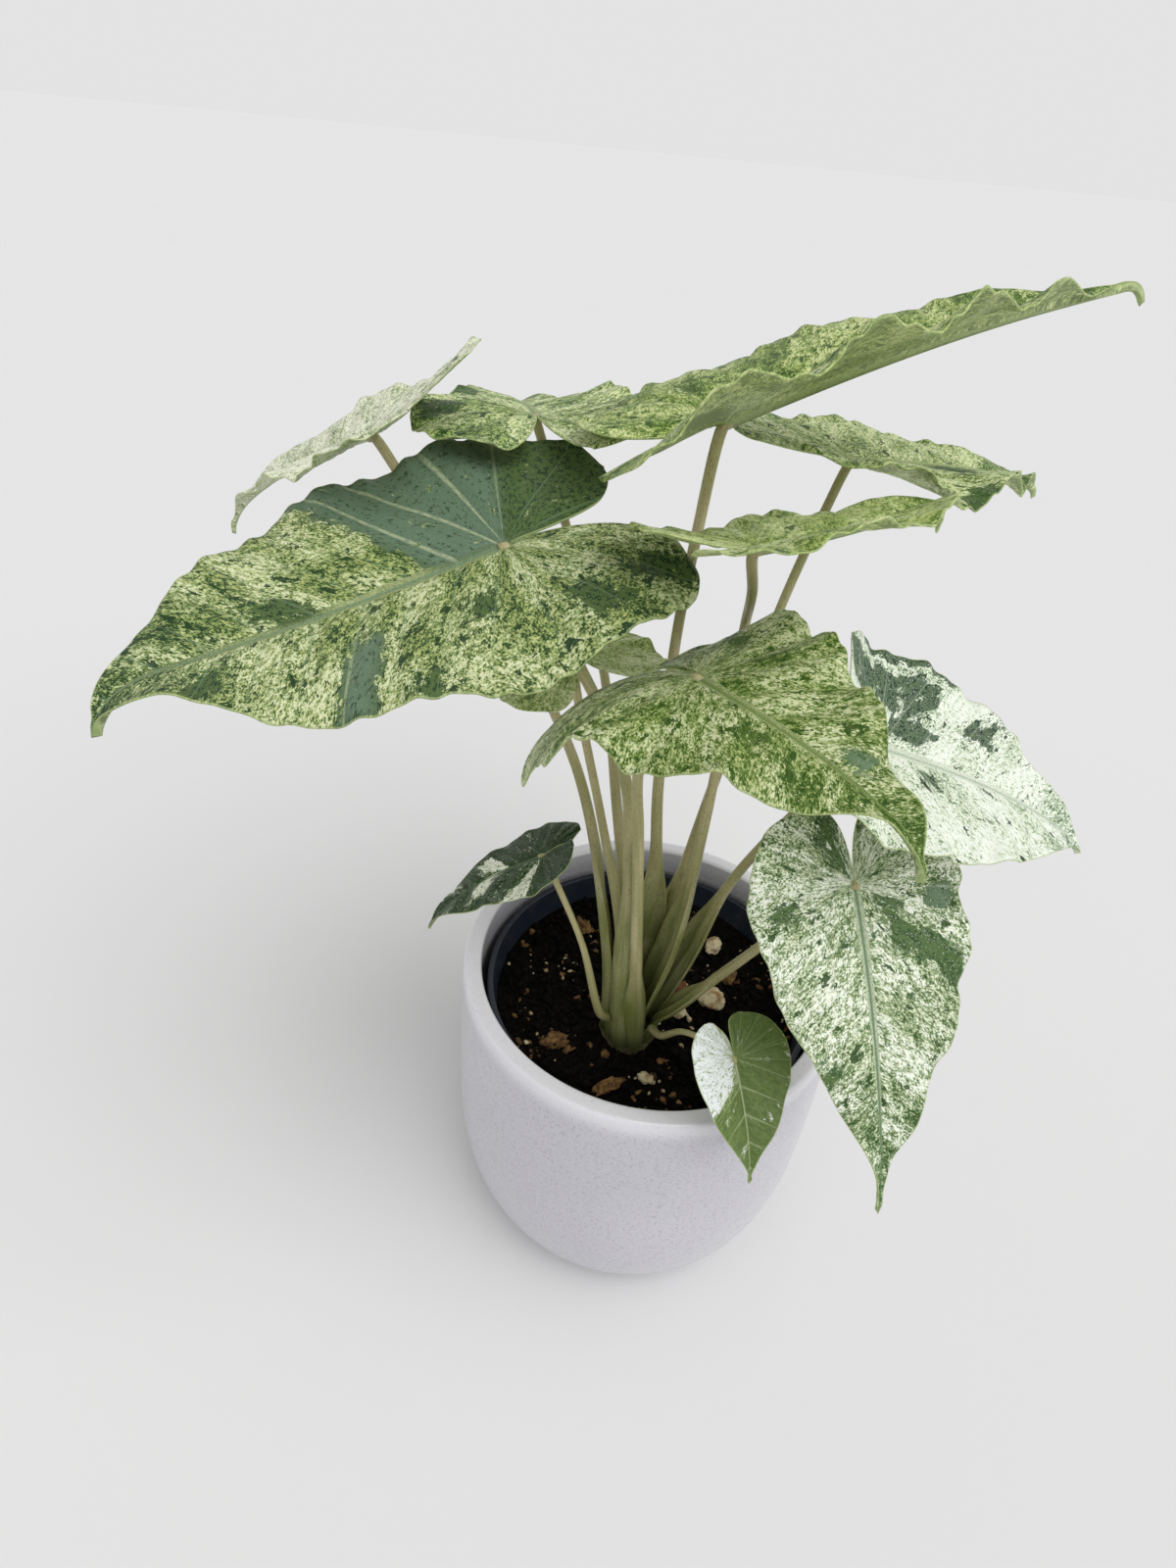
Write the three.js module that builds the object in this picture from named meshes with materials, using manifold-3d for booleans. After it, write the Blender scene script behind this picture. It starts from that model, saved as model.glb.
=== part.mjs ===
// A young variegated elephant ear in a nursery pot, standing inside a white glazed ceramic pot.
// Millimetres, +Z up, origin at the centre of the ceramic pot's underside, the front facing -Y.
import * as THREE from 'three';
import { mergeVertices } from 'three/addons/utils/BufferGeometryUtils.js';
import Module from 'manifold-3d';

const wasm = await Module();
wasm.setup();

// Clearance between pieces that touch
const gap = 0.3;

// Ceramic pot
const potHeight = 115;
const potRimRadius = 65;
const potBellyRadius = 66.5;
const potBellyHeight = 58;
const potBaseRadius = 45.5;
const potWall = 6;
const potFloor = 6;
const potRimRound = 1.5;
const potInnerRound = 8;
const potSides = 48;

// Nursery pot
const nurseryRimHeight = 105;
const nurseryRimRadius = 57;
const nurseryBaseRadius = 43;
const nurseryWall = 1.2;
const nurseryLip = 0.9;
const nurseryLipHeight = 4;
const nurseryLipRound = 0.5;
const drainRadius = 3;
const drainCircle = 30;
const drainCount = 6;

// Soil
const soilLevel = 95;
const soilRelief = 0.6;
const soilLump = 20;
const soilCrumb = 15;
const soilMargin = 6;
const soilRings = 6;

// Crown, the corm that the stalks grow from
const crownX = -6;
const crownY = -15;
const crownRadius = 10.6;
const crownBottom = 62;
const crownTop = 97;
const outerRing = 7.8;
const innerRing = 2.6;
const crownSides = 16;

// Leaves
const bladeThickness = 0.8;
const droopPower = 1.5;
const hookStart = 0.8;
const lobeRows = 5;
const bladeColumns = 4;
const midribSteps = 60;
const stalkClearance = 0.45;
const stalkSides = 8;
const stalkSteps = 12;
const sheathRise = 8;
const sheathLean = 0.12;
const sheathShare = 0.75;

const degrees = Math.PI / 180;

// Each leaf: where the stalk meets the blade, the way its midrib runs, its outline, and how each half lies.
// heading is the compass angle of the tip from +X, pitch its climb, droop how far it bends down along its length.
// Each half: rise and curl across the blade, drop of its lobe, and its margin wave as height, count and phase.
const leaves = [
  {
    name: '01',
    at: [-54, -6.5, 262.5], heading: 211, pitch: -15, roll: -10, droop: -12, sweep: 8, hook: 57,
    length: 102, halfWidth: 43, lobe: 39, lobeSpread: 20.5, widest: 0.41, taper: 0.7,
    left: { rise: 5, curl: -16, drop: 3, wave: [3.4, 2.9, 247] },
    right: { rise: 11, curl: -12, drop: 8, wave: [2, 4, 74] },
    foot: [245, outerRing], via: [[-13, -18, 166], [-18, -12, 201], [-29, -9.5, 225]],
    stalk: [2.2, 1.6], rows: 24,
  },
  {
    name: '02',
    at: [-4, 9, 292.5], heading: 28.5, pitch: 18, roll: -9, droop: 8.5, sweep: -2, hook: -2,
    length: 125, halfWidth: 39, lobe: 40, lobeSpread: 18.5, widest: 0.29, taper: 0.5,
    left: { rise: 25, curl: -39, drop: 0, shorten: 0.7, wave: [1.2, 3.8, 115] },
    right: { rise: 21, curl: 3.5, drop: 2, wave: [2.9, 4.5, 216] },
    foot: [105, outerRing], via: [[-4.5, -7, 157], [-7, 0, 190], [-7.5, 9, 231], [-6, 11, 264]],
    stalk: [2.2, 1.5], rows: 26,
  },
  {
    name: '03',
    at: [-53, 51, 279], heading: 100.5, pitch: -7.5, roll: 4, droop: 11, sweep: 0.5, hook: -5.5,
    length: 96.5, halfWidth: 34.5, lobe: 32.5, lobeSpread: 13, widest: 0.29, taper: 0.5,
    left: { rise: 9, curl: -23, drop: 7, wave: [1.8, 3, 113] },
    right: { rise: 9, curl: 17, drop: 4, wave: [1.9, 3, 265] },
    foot: [145, outerRing], via: [[-12.5, -4, 142], [-19, 10, 178], [-26, 30, 208], [-33, 40, 226]],
    stalk: [2.1, 1.4], rows: 20,
  },
  {
    name: '04',
    at: [-94, 25.5, 277], heading: 147, pitch: -22.5, roll: -18, droop: 20.5, sweep: 6, hook: 15.5,
    length: 77.5, halfWidth: 26.5, lobe: 32.5, lobeSpread: 13.5, widest: 0.31, taper: 0.5,
    left: { rise: 6, curl: 3, drop: -5.5, wave: [1.3, 3, 266] },
    right: { rise: 11, curl: -9.5, drop: -6, wave: [1.2, 2.9, -13] },
    foot: [180, outerRing], via: [[-16.5, -12.5, 131], [-32, 5, 190], [-62, 26, 233], [-78, 25, 253]],
    stalk: [2.1, 1.4], rows: 20,
  },
  {
    name: '05',
    at: [39, 52, 275], heading: 32.5, pitch: -6, roll: -9, droop: 6.5, sweep: 2, hook: 18,
    length: 95, halfWidth: 36.5, lobe: 34.5, lobeSpread: 14.5, widest: 0.32, taper: 0.5,
    left: { rise: 19.5, curl: -9, drop: -1.5, wave: [1.2, 3, -32] },
    right: { rise: -6, curl: 0, drop: -8, wave: [4.4, 2.5, 303] },
    foot: [65, outerRing], via: [[0, -10, 125], [6, 2, 160], [24, 33, 234], [33.5, 46, 261]],
    stalk: [2.1, 1.4], rows: 22,
  },
  {
    name: '06',
    at: [3, -28, 276], heading: 29, pitch: 3.5, roll: -13.5, droop: 7.5, sweep: 27, hook: 80,
    length: 79, halfWidth: 30, lobe: 22, lobeSpread: 12, widest: 0.3, taper: 0.5,
    left: { rise: 2, curl: -5, drop: -6, wave: [1.2, 3, -40] },
    right: { rise: 14, curl: -4, drop: -1, wave: [1.8, 3, 160] },
    foot: [15, innerRing], via: [[4, -18, 147], [7, -11, 182], [9.5, 2.5, 241], [7, -13, 259]],
    stalk: [2.1, 1.3], rows: 22,
  },
  {
    name: '07',
    at: [-6, -38.5, 249], heading: -56, pitch: 6.5, roll: -16, droop: 30.5, sweep: 16.5, hook: 39,
    length: 67.5, halfWidth: 34.5, lobe: 35, lobeSpread: 21.5, widest: 0.34, taper: 0.76,
    left: { rise: 26.5, curl: 1.5, drop: 20.5, wave: [2.1, 4.4, 72] },
    right: { rise: -15, curl: -29.5, tuck: -60, drop: 20, wave: [2.2, 4, 264] },
    foot: [285, outerRing], via: [[-9, -24, 152], [-12.5, -21.5, 188], [-15, -23, 210], [-12.5, -29, 232]],
    stalk: [2.2, 1.5], rows: 24,
  },
  {
    name: '08',
    at: [47, -17, 221.5], heading: 5.5, pitch: -16, roll: 17, droop: 20, sweep: 0.5, hook: 11,
    length: 78, halfWidth: 31, lobe: 17.5, lobeSpread: 12, widest: 0.34, taper: 0.45,
    left: { rise: 13, curl: 0, drop: -14, wave: [0.9, 3.8, -27] },
    right: { rise: 0, curl: 0, drop: 0, wave: [1.2, 4, 0] },
    foot: [25, outerRing], via: [[9, -15, 134], [18, -14, 167], [35, -16, 204]],
    stalk: [2.2, 1.4], rows: 20,
  },
  {
    name: '09',
    at: [47.5, -31, 185.5], heading: -75.5, pitch: -39.5, roll: -2, droop: 11.5, sweep: -8, hook: 11.5,
    length: 84, halfWidth: 32, lobe: 21, lobeSpread: 9, widest: 0.3, taper: 0.8,
    left: { rise: 1.5, curl: 0, drop: 0, wave: [1.9, 4.7, 185] },
    right: { rise: 3.5, curl: 0, drop: -3, wave: [2, 3.9, 264] },
    foot: [-12, outerRing], via: [[8, -22, 118], [27, -26, 151], [38, -28, 171]],
    stalk: [2.1, 1.4], rows: 24,
  },
  {
    name: '10',
    at: [-39.5, -14, 170.5], heading: 187, pitch: -27, roll: 5.5, droop: 30.5, sweep: 3, hook: 7.5,
    length: 46, halfWidth: 17.5, lobe: 12, lobeSpread: 7.5, widest: 0.33, taper: 0.47,
    left: { rise: 0, curl: 3, drop: -5, wave: [0.5, 3, -70] },
    right: { rise: -4, curl: -3, drop: 0.5, wave: [0.5, 3, 170] },
    foot: [212, outerRing], via: [[-17, -24, 113], [-25, -19, 139], [-35, -15, 161]],
    stalk: [1.6, 1], rows: 11,
  },
  {
    name: '11',
    at: [20.5, -57, 139.5], heading: -65, pitch: -44, roll: -2, droop: 25, sweep: -5, hook: 2.5,
    length: 36, halfWidth: 15.5, lobe: 11, lobeSpread: 5.5, widest: 0.3, taper: 0.53,
    left: { rise: 15, curl: 6, drop: 5.5, wave: [0.5, 3, 70] },
    right: { rise: 15, curl: 4.5, drop: 2.5, wave: [0.5, 3, 6] },
    foot: [318, outerRing], via: [[3, -31, 113], [8, -39, 126], [14, -48, 134]],
    stalk: [1.5, 0.9], rows: 11,
  },
  {
    name: '12',
    at: [-35.5, 10.5, 227.5], heading: 106, pitch: 2.5, roll: 0, droop: 20, sweep: 0, hook: 0,
    length: 36, halfWidth: 23.5, lobe: 26, lobeSpread: 10, widest: 0.32, taper: 0.5,
    left: { rise: -3, curl: -3, drop: 3, wave: [0.8, 3, 142] },
    right: { rise: 3, curl: -3, drop: -3, shorten: 0.8, wave: [1, 3, -14] },
    foot: [195, innerRing], via: [[-14, -13, 145], [-23, -5.5, 179.5], [-34, 3.5, 219]],
    stalk: [2.1, 1.3], rows: 12,
  },
];

// Stones and bark lying on the soil: centre, half sizes and the way the long side points.
const chips = [
  { name: 'pumice_1', at: [24.3, -0.7], size: [5, 4, 3.2], turn: 20, seed: 1, light: true },
  { name: 'pumice_2', at: [25.9, 25.9], size: [4, 3, 2.6], turn: 70, seed: 2, light: true },
  { name: 'pumice_3', at: [12, -7.5], size: [2.6, 2.2, 1.8], turn: 10, seed: 3, light: true },
  { name: 'pumice_4', at: [-0.1, -36], size: [3.4, 2.6, 2], turn: 160, seed: 4, light: true },
  { name: 'bark_1', at: [-30.9, -24.4], size: [5, 2.8, 1.4], turn: 15, seed: 5, light: false },
  { name: 'bark_2', at: [-24.6, 30.7], size: [4.4, 2.6, 1.5], turn: 120, seed: 6, light: false },
  { name: 'bark_3', at: [-12.3, -40], size: [4.8, 2.2, 1.3], turn: 35, seed: 7, light: false },
  { name: 'bark_4', at: [31, 12], size: [3.8, 2.4, 1.4], turn: 80, seed: 8, light: false },
];

// How far a chip's round is cut flat below, and how rough it is
const chipFlat = 0.72;
const chipRough = 0.14;

// A dry leaf base lying beside the stalks
const scaleAt = [9, 2];
const scaleSize = [6.5, 4, 1.6];
const scaleTurn = 30;
const scaleSeed = 9;

// Joins the doubled vertices of a closed geometry.
function welded(geometry) {
  geometry.deleteAttribute('normal');
  geometry.deleteAttribute('uv');
  return mergeVertices(geometry, 1e-4);
}

function toSolid(geometry) {
  const closed = welded(geometry);
  const mesh = new wasm.Mesh({
    numProp: 3,
    vertProperties: new Float32Array(closed.attributes.position.array),
    triVerts: new Uint32Array(closed.index.array),
  });
  return new wasm.Manifold(mesh);
}

function toGeometry(solid) {
  const mesh = solid.getMesh();
  const geometry = new THREE.BufferGeometry();
  geometry.setAttribute('position', new THREE.BufferAttribute(new Float32Array(mesh.vertProperties), 3));
  geometry.setIndex(new THREE.BufferAttribute(new Uint32Array(mesh.triVerts), 1));
  return geometry;
}

// Turns a profile of [radius, height] points round the Z axis.
function turned(profile, segments) {
  const points = profile.map(([radius, height]) => new THREE.Vector2(radius, height));
  return new THREE.LatheGeometry(points, segments).rotateX(Math.PI / 2);
}

function uprightCylinder(radius, bottom, top, x, y, sides) {
  const geometry = new THREE.CylinderGeometry(radius, radius, top - bottom, sides).rotateX(Math.PI / 2);
  return geometry.translate(x, y, (bottom + top) / 2);
}

// Radius of the ceramic pot's outside at a height: a slight belly above, a full round below.
function potOuterRadius(height) {
  if (height >= potBellyHeight) {
    const up = (height - potBellyHeight) / (potHeight - potBellyHeight);
    return potBellyRadius + (potRimRadius - potBellyRadius) * up * up;
  }
  const down = 1 - height / potBellyHeight;
  return potBaseRadius + (potBellyRadius - potBaseRadius) * Math.sqrt(1 - Math.pow(down, 2.5));
}

function ceramicPot() {
  const outside = [];
  const inside = [];
  const steps = 10;
  const insideSteps = 4;
  for (let i = 0; i <= steps; i += 1) {
    // Even steps of angle crowd the points where the pot turns under.
    const height = (potHeight - potRimRound) * (1 - Math.cos((i / steps) * Math.PI / 2));
    outside.push([potOuterRadius(height), height]);
  }
  const insideBottom = potFloor + potInnerRound;
  for (let i = 0; i <= insideSteps; i += 1) {
    const height = insideBottom + (potHeight - potRimRound - insideBottom) * (i / insideSteps);
    inside.push([potOuterRadius(height) - potWall, height]);
  }
  const profile = [
    [0, 0],
    ...outside,
    [potRimRadius - potRimRound, potHeight],
    [potRimRadius - potWall + potRimRound, potHeight],
    ...inside.reverse(),
    [potBaseRadius + potInnerRound / 2, potFloor + potInnerRound * 0.3],
    [potBaseRadius - 1, potFloor],
    [0, potFloor],
  ];
  return turned(profile, potSides);
}

// Radius of the nursery pot's outside at a height.
function nurseryOuterRadius(height) {
  const up = (height - potFloor - gap) / (nurseryRimHeight - potFloor - gap);
  return nurseryBaseRadius + (nurseryRimRadius - nurseryLip - nurseryBaseRadius) * up;
}

function nurseryPot() {
  const bottom = potFloor + gap;
  const lipBottom = nurseryRimHeight - nurseryLipHeight;
  const profile = [
    [0, bottom],
    [nurseryBaseRadius, bottom],
    [nurseryOuterRadius(lipBottom), lipBottom],
    [nurseryRimRadius, lipBottom + nurseryLip],
    [nurseryRimRadius, nurseryRimHeight - nurseryLipRound],
    [nurseryRimRadius - nurseryLipRound, nurseryRimHeight],
    [nurseryOuterRadius(nurseryRimHeight) - nurseryWall, nurseryRimHeight],
    [nurseryOuterRadius(bottom + nurseryWall) - nurseryWall, bottom + nurseryWall],
    [0, bottom + nurseryWall],
  ];
  let solid = toSolid(turned(profile, potSides));
  for (let i = 0; i < drainCount; i += 1) {
    const angle = (i / drainCount) * 2 * Math.PI;
    const x = drainCircle * Math.cos(angle);
    const y = drainCircle * Math.sin(angle);
    const hole = uprightCylinder(drainRadius, bottom - 1, bottom + nurseryWall + 1, x, y, 12);
    solid = solid.subtract(toSolid(hole));
  }
  return toGeometry(solid);
}

// Height of the soil's uneven top.
function soilTop(x, y) {
  const lump = (2 * Math.PI) / soilLump;
  const crumb = (2 * Math.PI) / soilCrumb;
  const lumps = Math.sin(lump * x + 1.1) * Math.sin(lump * y + 0.4) + 0.6 * Math.sin(crumb * (0.8 * x - 0.6 * y));
  return soilLevel + soilRelief * lumps;
}

// The soil fills the nursery pot and lies level along its wall.
function soil() {
  const bottom = potFloor + gap + nurseryWall + gap;
  const bottomRadius = nurseryOuterRadius(bottom) - nurseryWall - gap;
  const topRadius = nurseryOuterRadius(soilLevel) - nurseryWall - gap;
  const profile = [[0, bottom], [bottomRadius, bottom]];
  for (let i = soilRings; i >= 0; i -= 1) {
    profile.push([(topRadius * i) / soilRings, soilLevel]);
  }
  const geometry = welded(turned(profile, potSides));
  const position = geometry.attributes.position;
  for (let i = 0; i < position.count; i += 1) {
    if (position.getZ(i) > soilLevel - 1) {
      const x = position.getX(i);
      const y = position.getY(i);
      const inward = Math.min(1, (topRadius - Math.hypot(x, y)) / soilMargin);
      position.setZ(i, soilLevel + (soilTop(x, y) - soilLevel) * inward);
    }
  }
  const hole = uprightCylinder(crownRadius + gap, crownBottom - gap, soilLevel + 20, crownX, crownY, crownSides);
  return toGeometry(toSolid(geometry).subtract(toSolid(hole)));
}

// A faceted pebble, flattened below and lowered until its lowest corners rest on the ground.
function chip(at, size, turn, seed, groundAt) {
  const geometry = welded(new THREE.IcosahedronGeometry(1, 1));
  const position = geometry.attributes.position;
  const angle = turn * degrees;
  let lift = groundAt(at[0], at[1]) + chipFlat * size[2];
  for (let i = 0; i < position.count; i += 1) {
    const x = position.getX(i);
    const y = position.getY(i);
    const z = position.getZ(i);
    const rough = 1 + chipRough * Math.sin(5.1 * x + 3.7 * y + 2.9 * seed) * Math.cos(4.3 * z + 1.7 * seed);
    const long = x * size[0] * rough;
    const wide = y * size[1] * rough;
    const high = Math.max(z * rough, -chipFlat) * size[2];
    const placeX = at[0] + long * Math.cos(angle) - wide * Math.sin(angle);
    const placeY = at[1] + long * Math.sin(angle) + wide * Math.cos(angle);
    position.setXYZ(i, placeX, placeY, high);
    lift = Math.max(lift, groundAt(placeX, placeY) - high);
  }
  return geometry.translate(0, 0, lift + gap);
}

function crown() {
  const profile = [
    [0, crownBottom],
    [5, crownBottom + 0.8],
    [8.2, crownBottom + 4],
    [crownRadius - 0.3, crownBottom + 12],
    [crownRadius - 0.6, crownBottom + 20],
    [crownRadius, crownTop - 4],
    [crownRadius - 0.2, crownTop - 0.6],
    [crownRadius - 0.8, crownTop],
    [0, crownTop],
  ];
  return turned(profile, crownSides).translate(crownX, crownY, 0);
}

// Half width of a blade at a place along its midrib: round lobes, the widest part near the stalk, a drawn-out tip.
function outerMargin(leaf, along) {
  const part = Math.min(1, Math.max(0, (along + leaf.lobe) / (leaf.length + leaf.lobe)));
  const rounding = 0.5;
  const narrowing = (rounding * (1 - leaf.widest)) / leaf.widest;
  const swell = Math.pow(part / leaf.widest, rounding) * Math.pow((1 - part) / (1 - leaf.widest), narrowing);
  const spread = leaf.lobeSpread * Math.pow(1 - part, 4);
  const full = leaf.halfWidth - leaf.lobeSpread * Math.pow(1 - leaf.widest, 4);
  return (spread + full * swell) * (1 - leaf.taper * Math.pow(part, 6));
}

// Distance of the slit between the lobes from the midrib line.
function innerMargin(leaf, along) {
  if (along >= 0) {
    return 0;
  }
  const back = Math.min(1, -along / leaf.lobe);
  return leaf.lobeSpread * (1 - Math.sqrt(1 - back * back)) * 0.98 + 0.02 * leaf.lobeSpread * back;
}

// Points of the midrib with the directions along it, to its left and above it.
function midribFrames(leaf) {
  const frames = [];
  const point = new THREE.Vector3(...leaf.at);
  const roll = leaf.roll * degrees;
  let previous = null;
  for (let i = 0; i <= midribSteps; i += 1) {
    const part = i / midribSteps;
    const late = Math.max(0, (part - hookStart) / (1 - hookStart));
    const bend = leaf.droop * Math.pow(part, droopPower) + leaf.hook * Math.pow(late, droopPower);
    const climb = (leaf.pitch - bend) * degrees;
    const turn = (leaf.heading + leaf.sweep * part) * degrees;
    const along = new THREE.Vector3(
      Math.cos(climb) * Math.cos(turn), Math.cos(climb) * Math.sin(turn), Math.sin(climb));
    if (previous) {
      point.addScaledVector(previous.clone().add(along), (leaf.length / midribSteps) / 2);
    }
    const level = new THREE.Vector3(-Math.sin(turn), Math.cos(turn), 0);
    const up = new THREE.Vector3().crossVectors(along, level);
    const left = level.clone().multiplyScalar(Math.cos(roll)).addScaledVector(up, Math.sin(roll));
    const above = up.clone().multiplyScalar(Math.cos(roll)).addScaledVector(level, -Math.sin(roll));
    frames.push({ point: point.clone(), along, left, above });
    previous = along;
  }
  return frames;
}

function frameAt(leaf, frames, along) {
  if (along <= 0) {
    const first = frames[0];
    return { ...first, point: first.point.clone().addScaledVector(first.along, along) };
  }
  const place = Math.min(1, along / leaf.length) * midribSteps;
  const low = Math.min(midribSteps - 1, Math.floor(place));
  const share = place - low;
  const a = frames[low];
  const b = frames[low + 1];
  return {
    point: a.point.clone().lerp(b.point, share),
    along: a.along.clone().lerp(b.along, share).normalize(),
    left: a.left.clone().lerp(b.left, share).normalize(),
    above: a.above.clone().lerp(b.above, share).normalize(),
  };
}

// A point of the blade's middle surface: along the midrib, then out across the left (+1) or right (-1) half.
function bladePoint(leaf, frames, along, out, side) {
  const half = side > 0 ? leaf.left : leaf.right;
  const frame = frameAt(leaf, frames, along < 0 ? along * (half.shorten ?? 1) : along);
  const back = Math.min(1, Math.max(0, -along / leaf.lobe));
  const start = half.rise * degrees;
  const curl = half.curl + (half.tuck ?? 0) * back;
  const bend = ((Math.abs(curl) < 0.1 ? 0.1 : curl) * degrees) / leaf.halfWidth;
  const across = (Math.sin(start + bend * out) - Math.sin(start)) / bend;
  let height = (Math.cos(start) - Math.cos(start + bend * out)) / bend;
  height -= half.drop * Math.pow(back, 1.7);
  const [waveHeight, waveCount, wavePhase] = half.wave;
  const part = (along + leaf.lobe) / (leaf.length + leaf.lobe);
  const reach = Math.min(1.2, out / Math.max(outerMargin(leaf, along), 0.01));
  const fade = Math.min(1, Math.max(0, (1 - along / leaf.length) / 0.15));
  const swing = Math.sin(2 * Math.PI * waveCount * part + wavePhase * degrees);
  height += waveHeight * reach * reach * fade * swing;
  return frame.point.clone().addScaledVector(frame.left, side * across).addScaledVector(frame.above, height);
}

// Places along the midrib from the lobe ends to the tip, closer together at both ends.
function bladeStations(leaf) {
  const stations = [];
  for (let i = 0; i < lobeRows; i += 1) {
    stations.push(-leaf.lobe * Math.cos((i / lobeRows) * Math.PI / 2));
  }
  for (let i = 0; i <= leaf.rows; i += 1) {
    const even = i / leaf.rows;
    stations.push(leaf.length * (even + 0.06 * Math.sin(Math.PI * even)));
  }
  stations[lobeRows] = 0;
  return stations;
}

// Builds a closed thin blade: the same triangles on both faces, joined by a wall along the margin.
function blade(leaf) {
  const frames = midribFrames(leaf);
  const stations = bladeStations(leaf);
  const last = stations.length - 1;
  const points = [];
  const add = (along, out, side) => points.push(bladePoint(leaf, frames, along, out, side)) - 1;
  const tip = add(leaf.length, 0, 1);
  const ribs = stations.map((along, i) => (i >= lobeRows && i < last ? add(along, 0, 1) : -1));
  const halves = [1, -1].map((side) => {
    const rows = [[add(-leaf.lobe, leaf.lobeSpread, side)]];
    for (let i = 1; i < last; i += 1) {
      const from = innerMargin(leaf, stations[i]);
      const to = outerMargin(leaf, stations[i]);
      const row = [];
      for (let j = 0; j <= bladeColumns; j += 1) {
        const share = j / bladeColumns;
        row.push(j === 0 && ribs[i] >= 0 ? ribs[i] : add(stations[i], from + (to - from) * share, side));
      }
      rows.push(row);
    }
    rows.push([tip]);
    return rows;
  });

  const triangles = [];
  halves.forEach((rows, index) => {
    const face = (a, b, c) => triangles.push(index === 0 ? [a, b, c] : [a, c, b]);
    for (let i = 0; i < rows.length - 1; i += 1) {
      const a = rows[i];
      const b = rows[i + 1];
      for (let j = 0; j < bladeColumns; j += 1) {
        if (a.length === 1) {
          face(a[0], b[j], b[j + 1]);
        } else if (b.length === 1) {
          face(a[j], b[0], a[j + 1]);
        } else {
          face(a[j], b[j], b[j + 1]);
          face(a[j], b[j + 1], a[j + 1]);
        }
      }
    }
  });

  const normals = points.map(() => new THREE.Vector3());
  triangles.forEach(([a, b, c]) => {
    const edge = points[b].clone().sub(points[a]);
    const normal = edge.cross(points[c].clone().sub(points[a]));
    [a, b, c].forEach((i) => normals[i].add(normal));
  });

  const count = points.length;
  const position = new Float32Array(count * 6);
  points.forEach((point, i) => {
    normals[i].normalize();
    point.clone().addScaledVector(normals[i], bladeThickness / 2).toArray(position, i * 3);
    point.clone().addScaledVector(normals[i], -bladeThickness / 2).toArray(position, (count + i) * 3);
  });

  const index = [];
  const border = new Map();
  triangles.forEach(([a, b, c]) => {
    index.push(a, b, c, count + a, count + c, count + b);
    [[a, b], [b, c], [c, a]].forEach(([from, to]) => {
      const back = `${to},${from}`;
      if (border.has(back)) {
        border.delete(back);
      } else {
        border.set(`${from},${to}`, [from, to]);
      }
    });
  });
  border.forEach(([from, to]) => {
    index.push(from, count + from, count + to, from, count + to, to);
  });

  const geometry = new THREE.BufferGeometry();
  geometry.setAttribute('position', new THREE.BufferAttribute(position, 3));
  geometry.setIndex(index);
  return geometry;
}

// Bends a cylinder along the stalk's route, thick and sheathed below and slim above.
function stalk(leaf) {
  const [footAngle, footRing] = leaf.foot;
  const [footRadius, topRadius] = leaf.stalk;
  const foot = new THREE.Vector3(
    crownX + footRing * Math.cos(footAngle * degrees),
    crownY + footRing * Math.sin(footAngle * degrees),
    crownTop + gap);
  const rise = new THREE.Vector3(foot.x, foot.y, foot.z + sheathRise);
  rise.x += (leaf.via[0][0] - foot.x) * sheathLean;
  rise.y += (leaf.via[0][1] - foot.y) * sheathLean;
  const first = midribFrames(leaf)[0];
  const via = leaf.via.map((place) => new THREE.Vector3(...place));
  const approach = first.point.clone().sub(via[via.length - 1]).normalize();
  const lean = Math.sqrt(1 - Math.min(1, approach.dot(first.above) ** 2));
  const fall = Math.sin(Math.max(0, -leaf.left.rise, -leaf.right.rise) * degrees);
  const below = bladeThickness / 2 + stalkClearance + topRadius * (lean + fall);
  const top = first.point.clone().addScaledVector(first.above, -below);
  const route = new THREE.CatmullRomCurve3([foot, rise, ...via, top], false, 'centripetal');
  const frames = route.computeFrenetFrames(stalkSteps);

  const geometry = welded(new THREE.CylinderGeometry(1, 1, 1, stalkSides, stalkSteps));
  const position = geometry.attributes.position;
  for (let i = 0; i < position.count; i += 1) {
    const step = Math.round((position.getY(i) + 0.5) * stalkSteps);
    const part = step / stalkSteps;
    const narrowing = Math.min(1, part / sheathShare);
    const radius = footRadius + (topRadius - footRadius) * narrowing * narrowing * (3 - 2 * narrowing);
    const point = route.getPointAt(part);
    if (step === 0) {
      // The foot is cut level, so it stands flat on the crown.
      point.x += radius * position.getX(i);
      point.y -= radius * position.getZ(i);
    } else {
      point.addScaledVector(frames.normals[step], radius * position.getX(i));
      point.addScaledVector(frames.binormals[step], -radius * position.getZ(i));
    }
    position.setXYZ(i, point.x, point.y, point.z);
  }
  return geometry;
}

const glaze = { color: 0xe9e8ef, roughness: 0.3, metalness: 0 };
const plastic = { color: 0x14161b, roughness: 0.45, metalness: 0 };
const earth = { color: 0x15110d, roughness: 0.95, metalness: 0 };
const pumice = { color: 0xcfc3ae, roughness: 0.9, metalness: 0 };
const bark = { color: 0x6b4526, roughness: 0.9, metalness: 0 };
const husk = { color: 0x5a3420, roughness: 0.7, metalness: 0 };
const corm = { color: 0x8a8a55, roughness: 0.7, metalness: 0 };
const stem = { color: 0xa3a675, roughness: 0.55, metalness: 0 };
const foliage = { color: 0xb4c58c, roughness: 0.5, metalness: 0 };

const plant = new THREE.Group();

function place(name, geometry, finish) {
  const mesh = new THREE.Mesh(geometry, new THREE.MeshStandardMaterial(finish));
  mesh.name = name;
  plant.add(mesh);
}

place('ceramic_pot', ceramicPot(), glaze);
place('nursery_pot', nurseryPot(), plastic);
place('soil', soil(), earth);
place('crown', crown(), corm);

const ground = plant.getObjectByName('soil');
const downward = new THREE.Raycaster();

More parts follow.
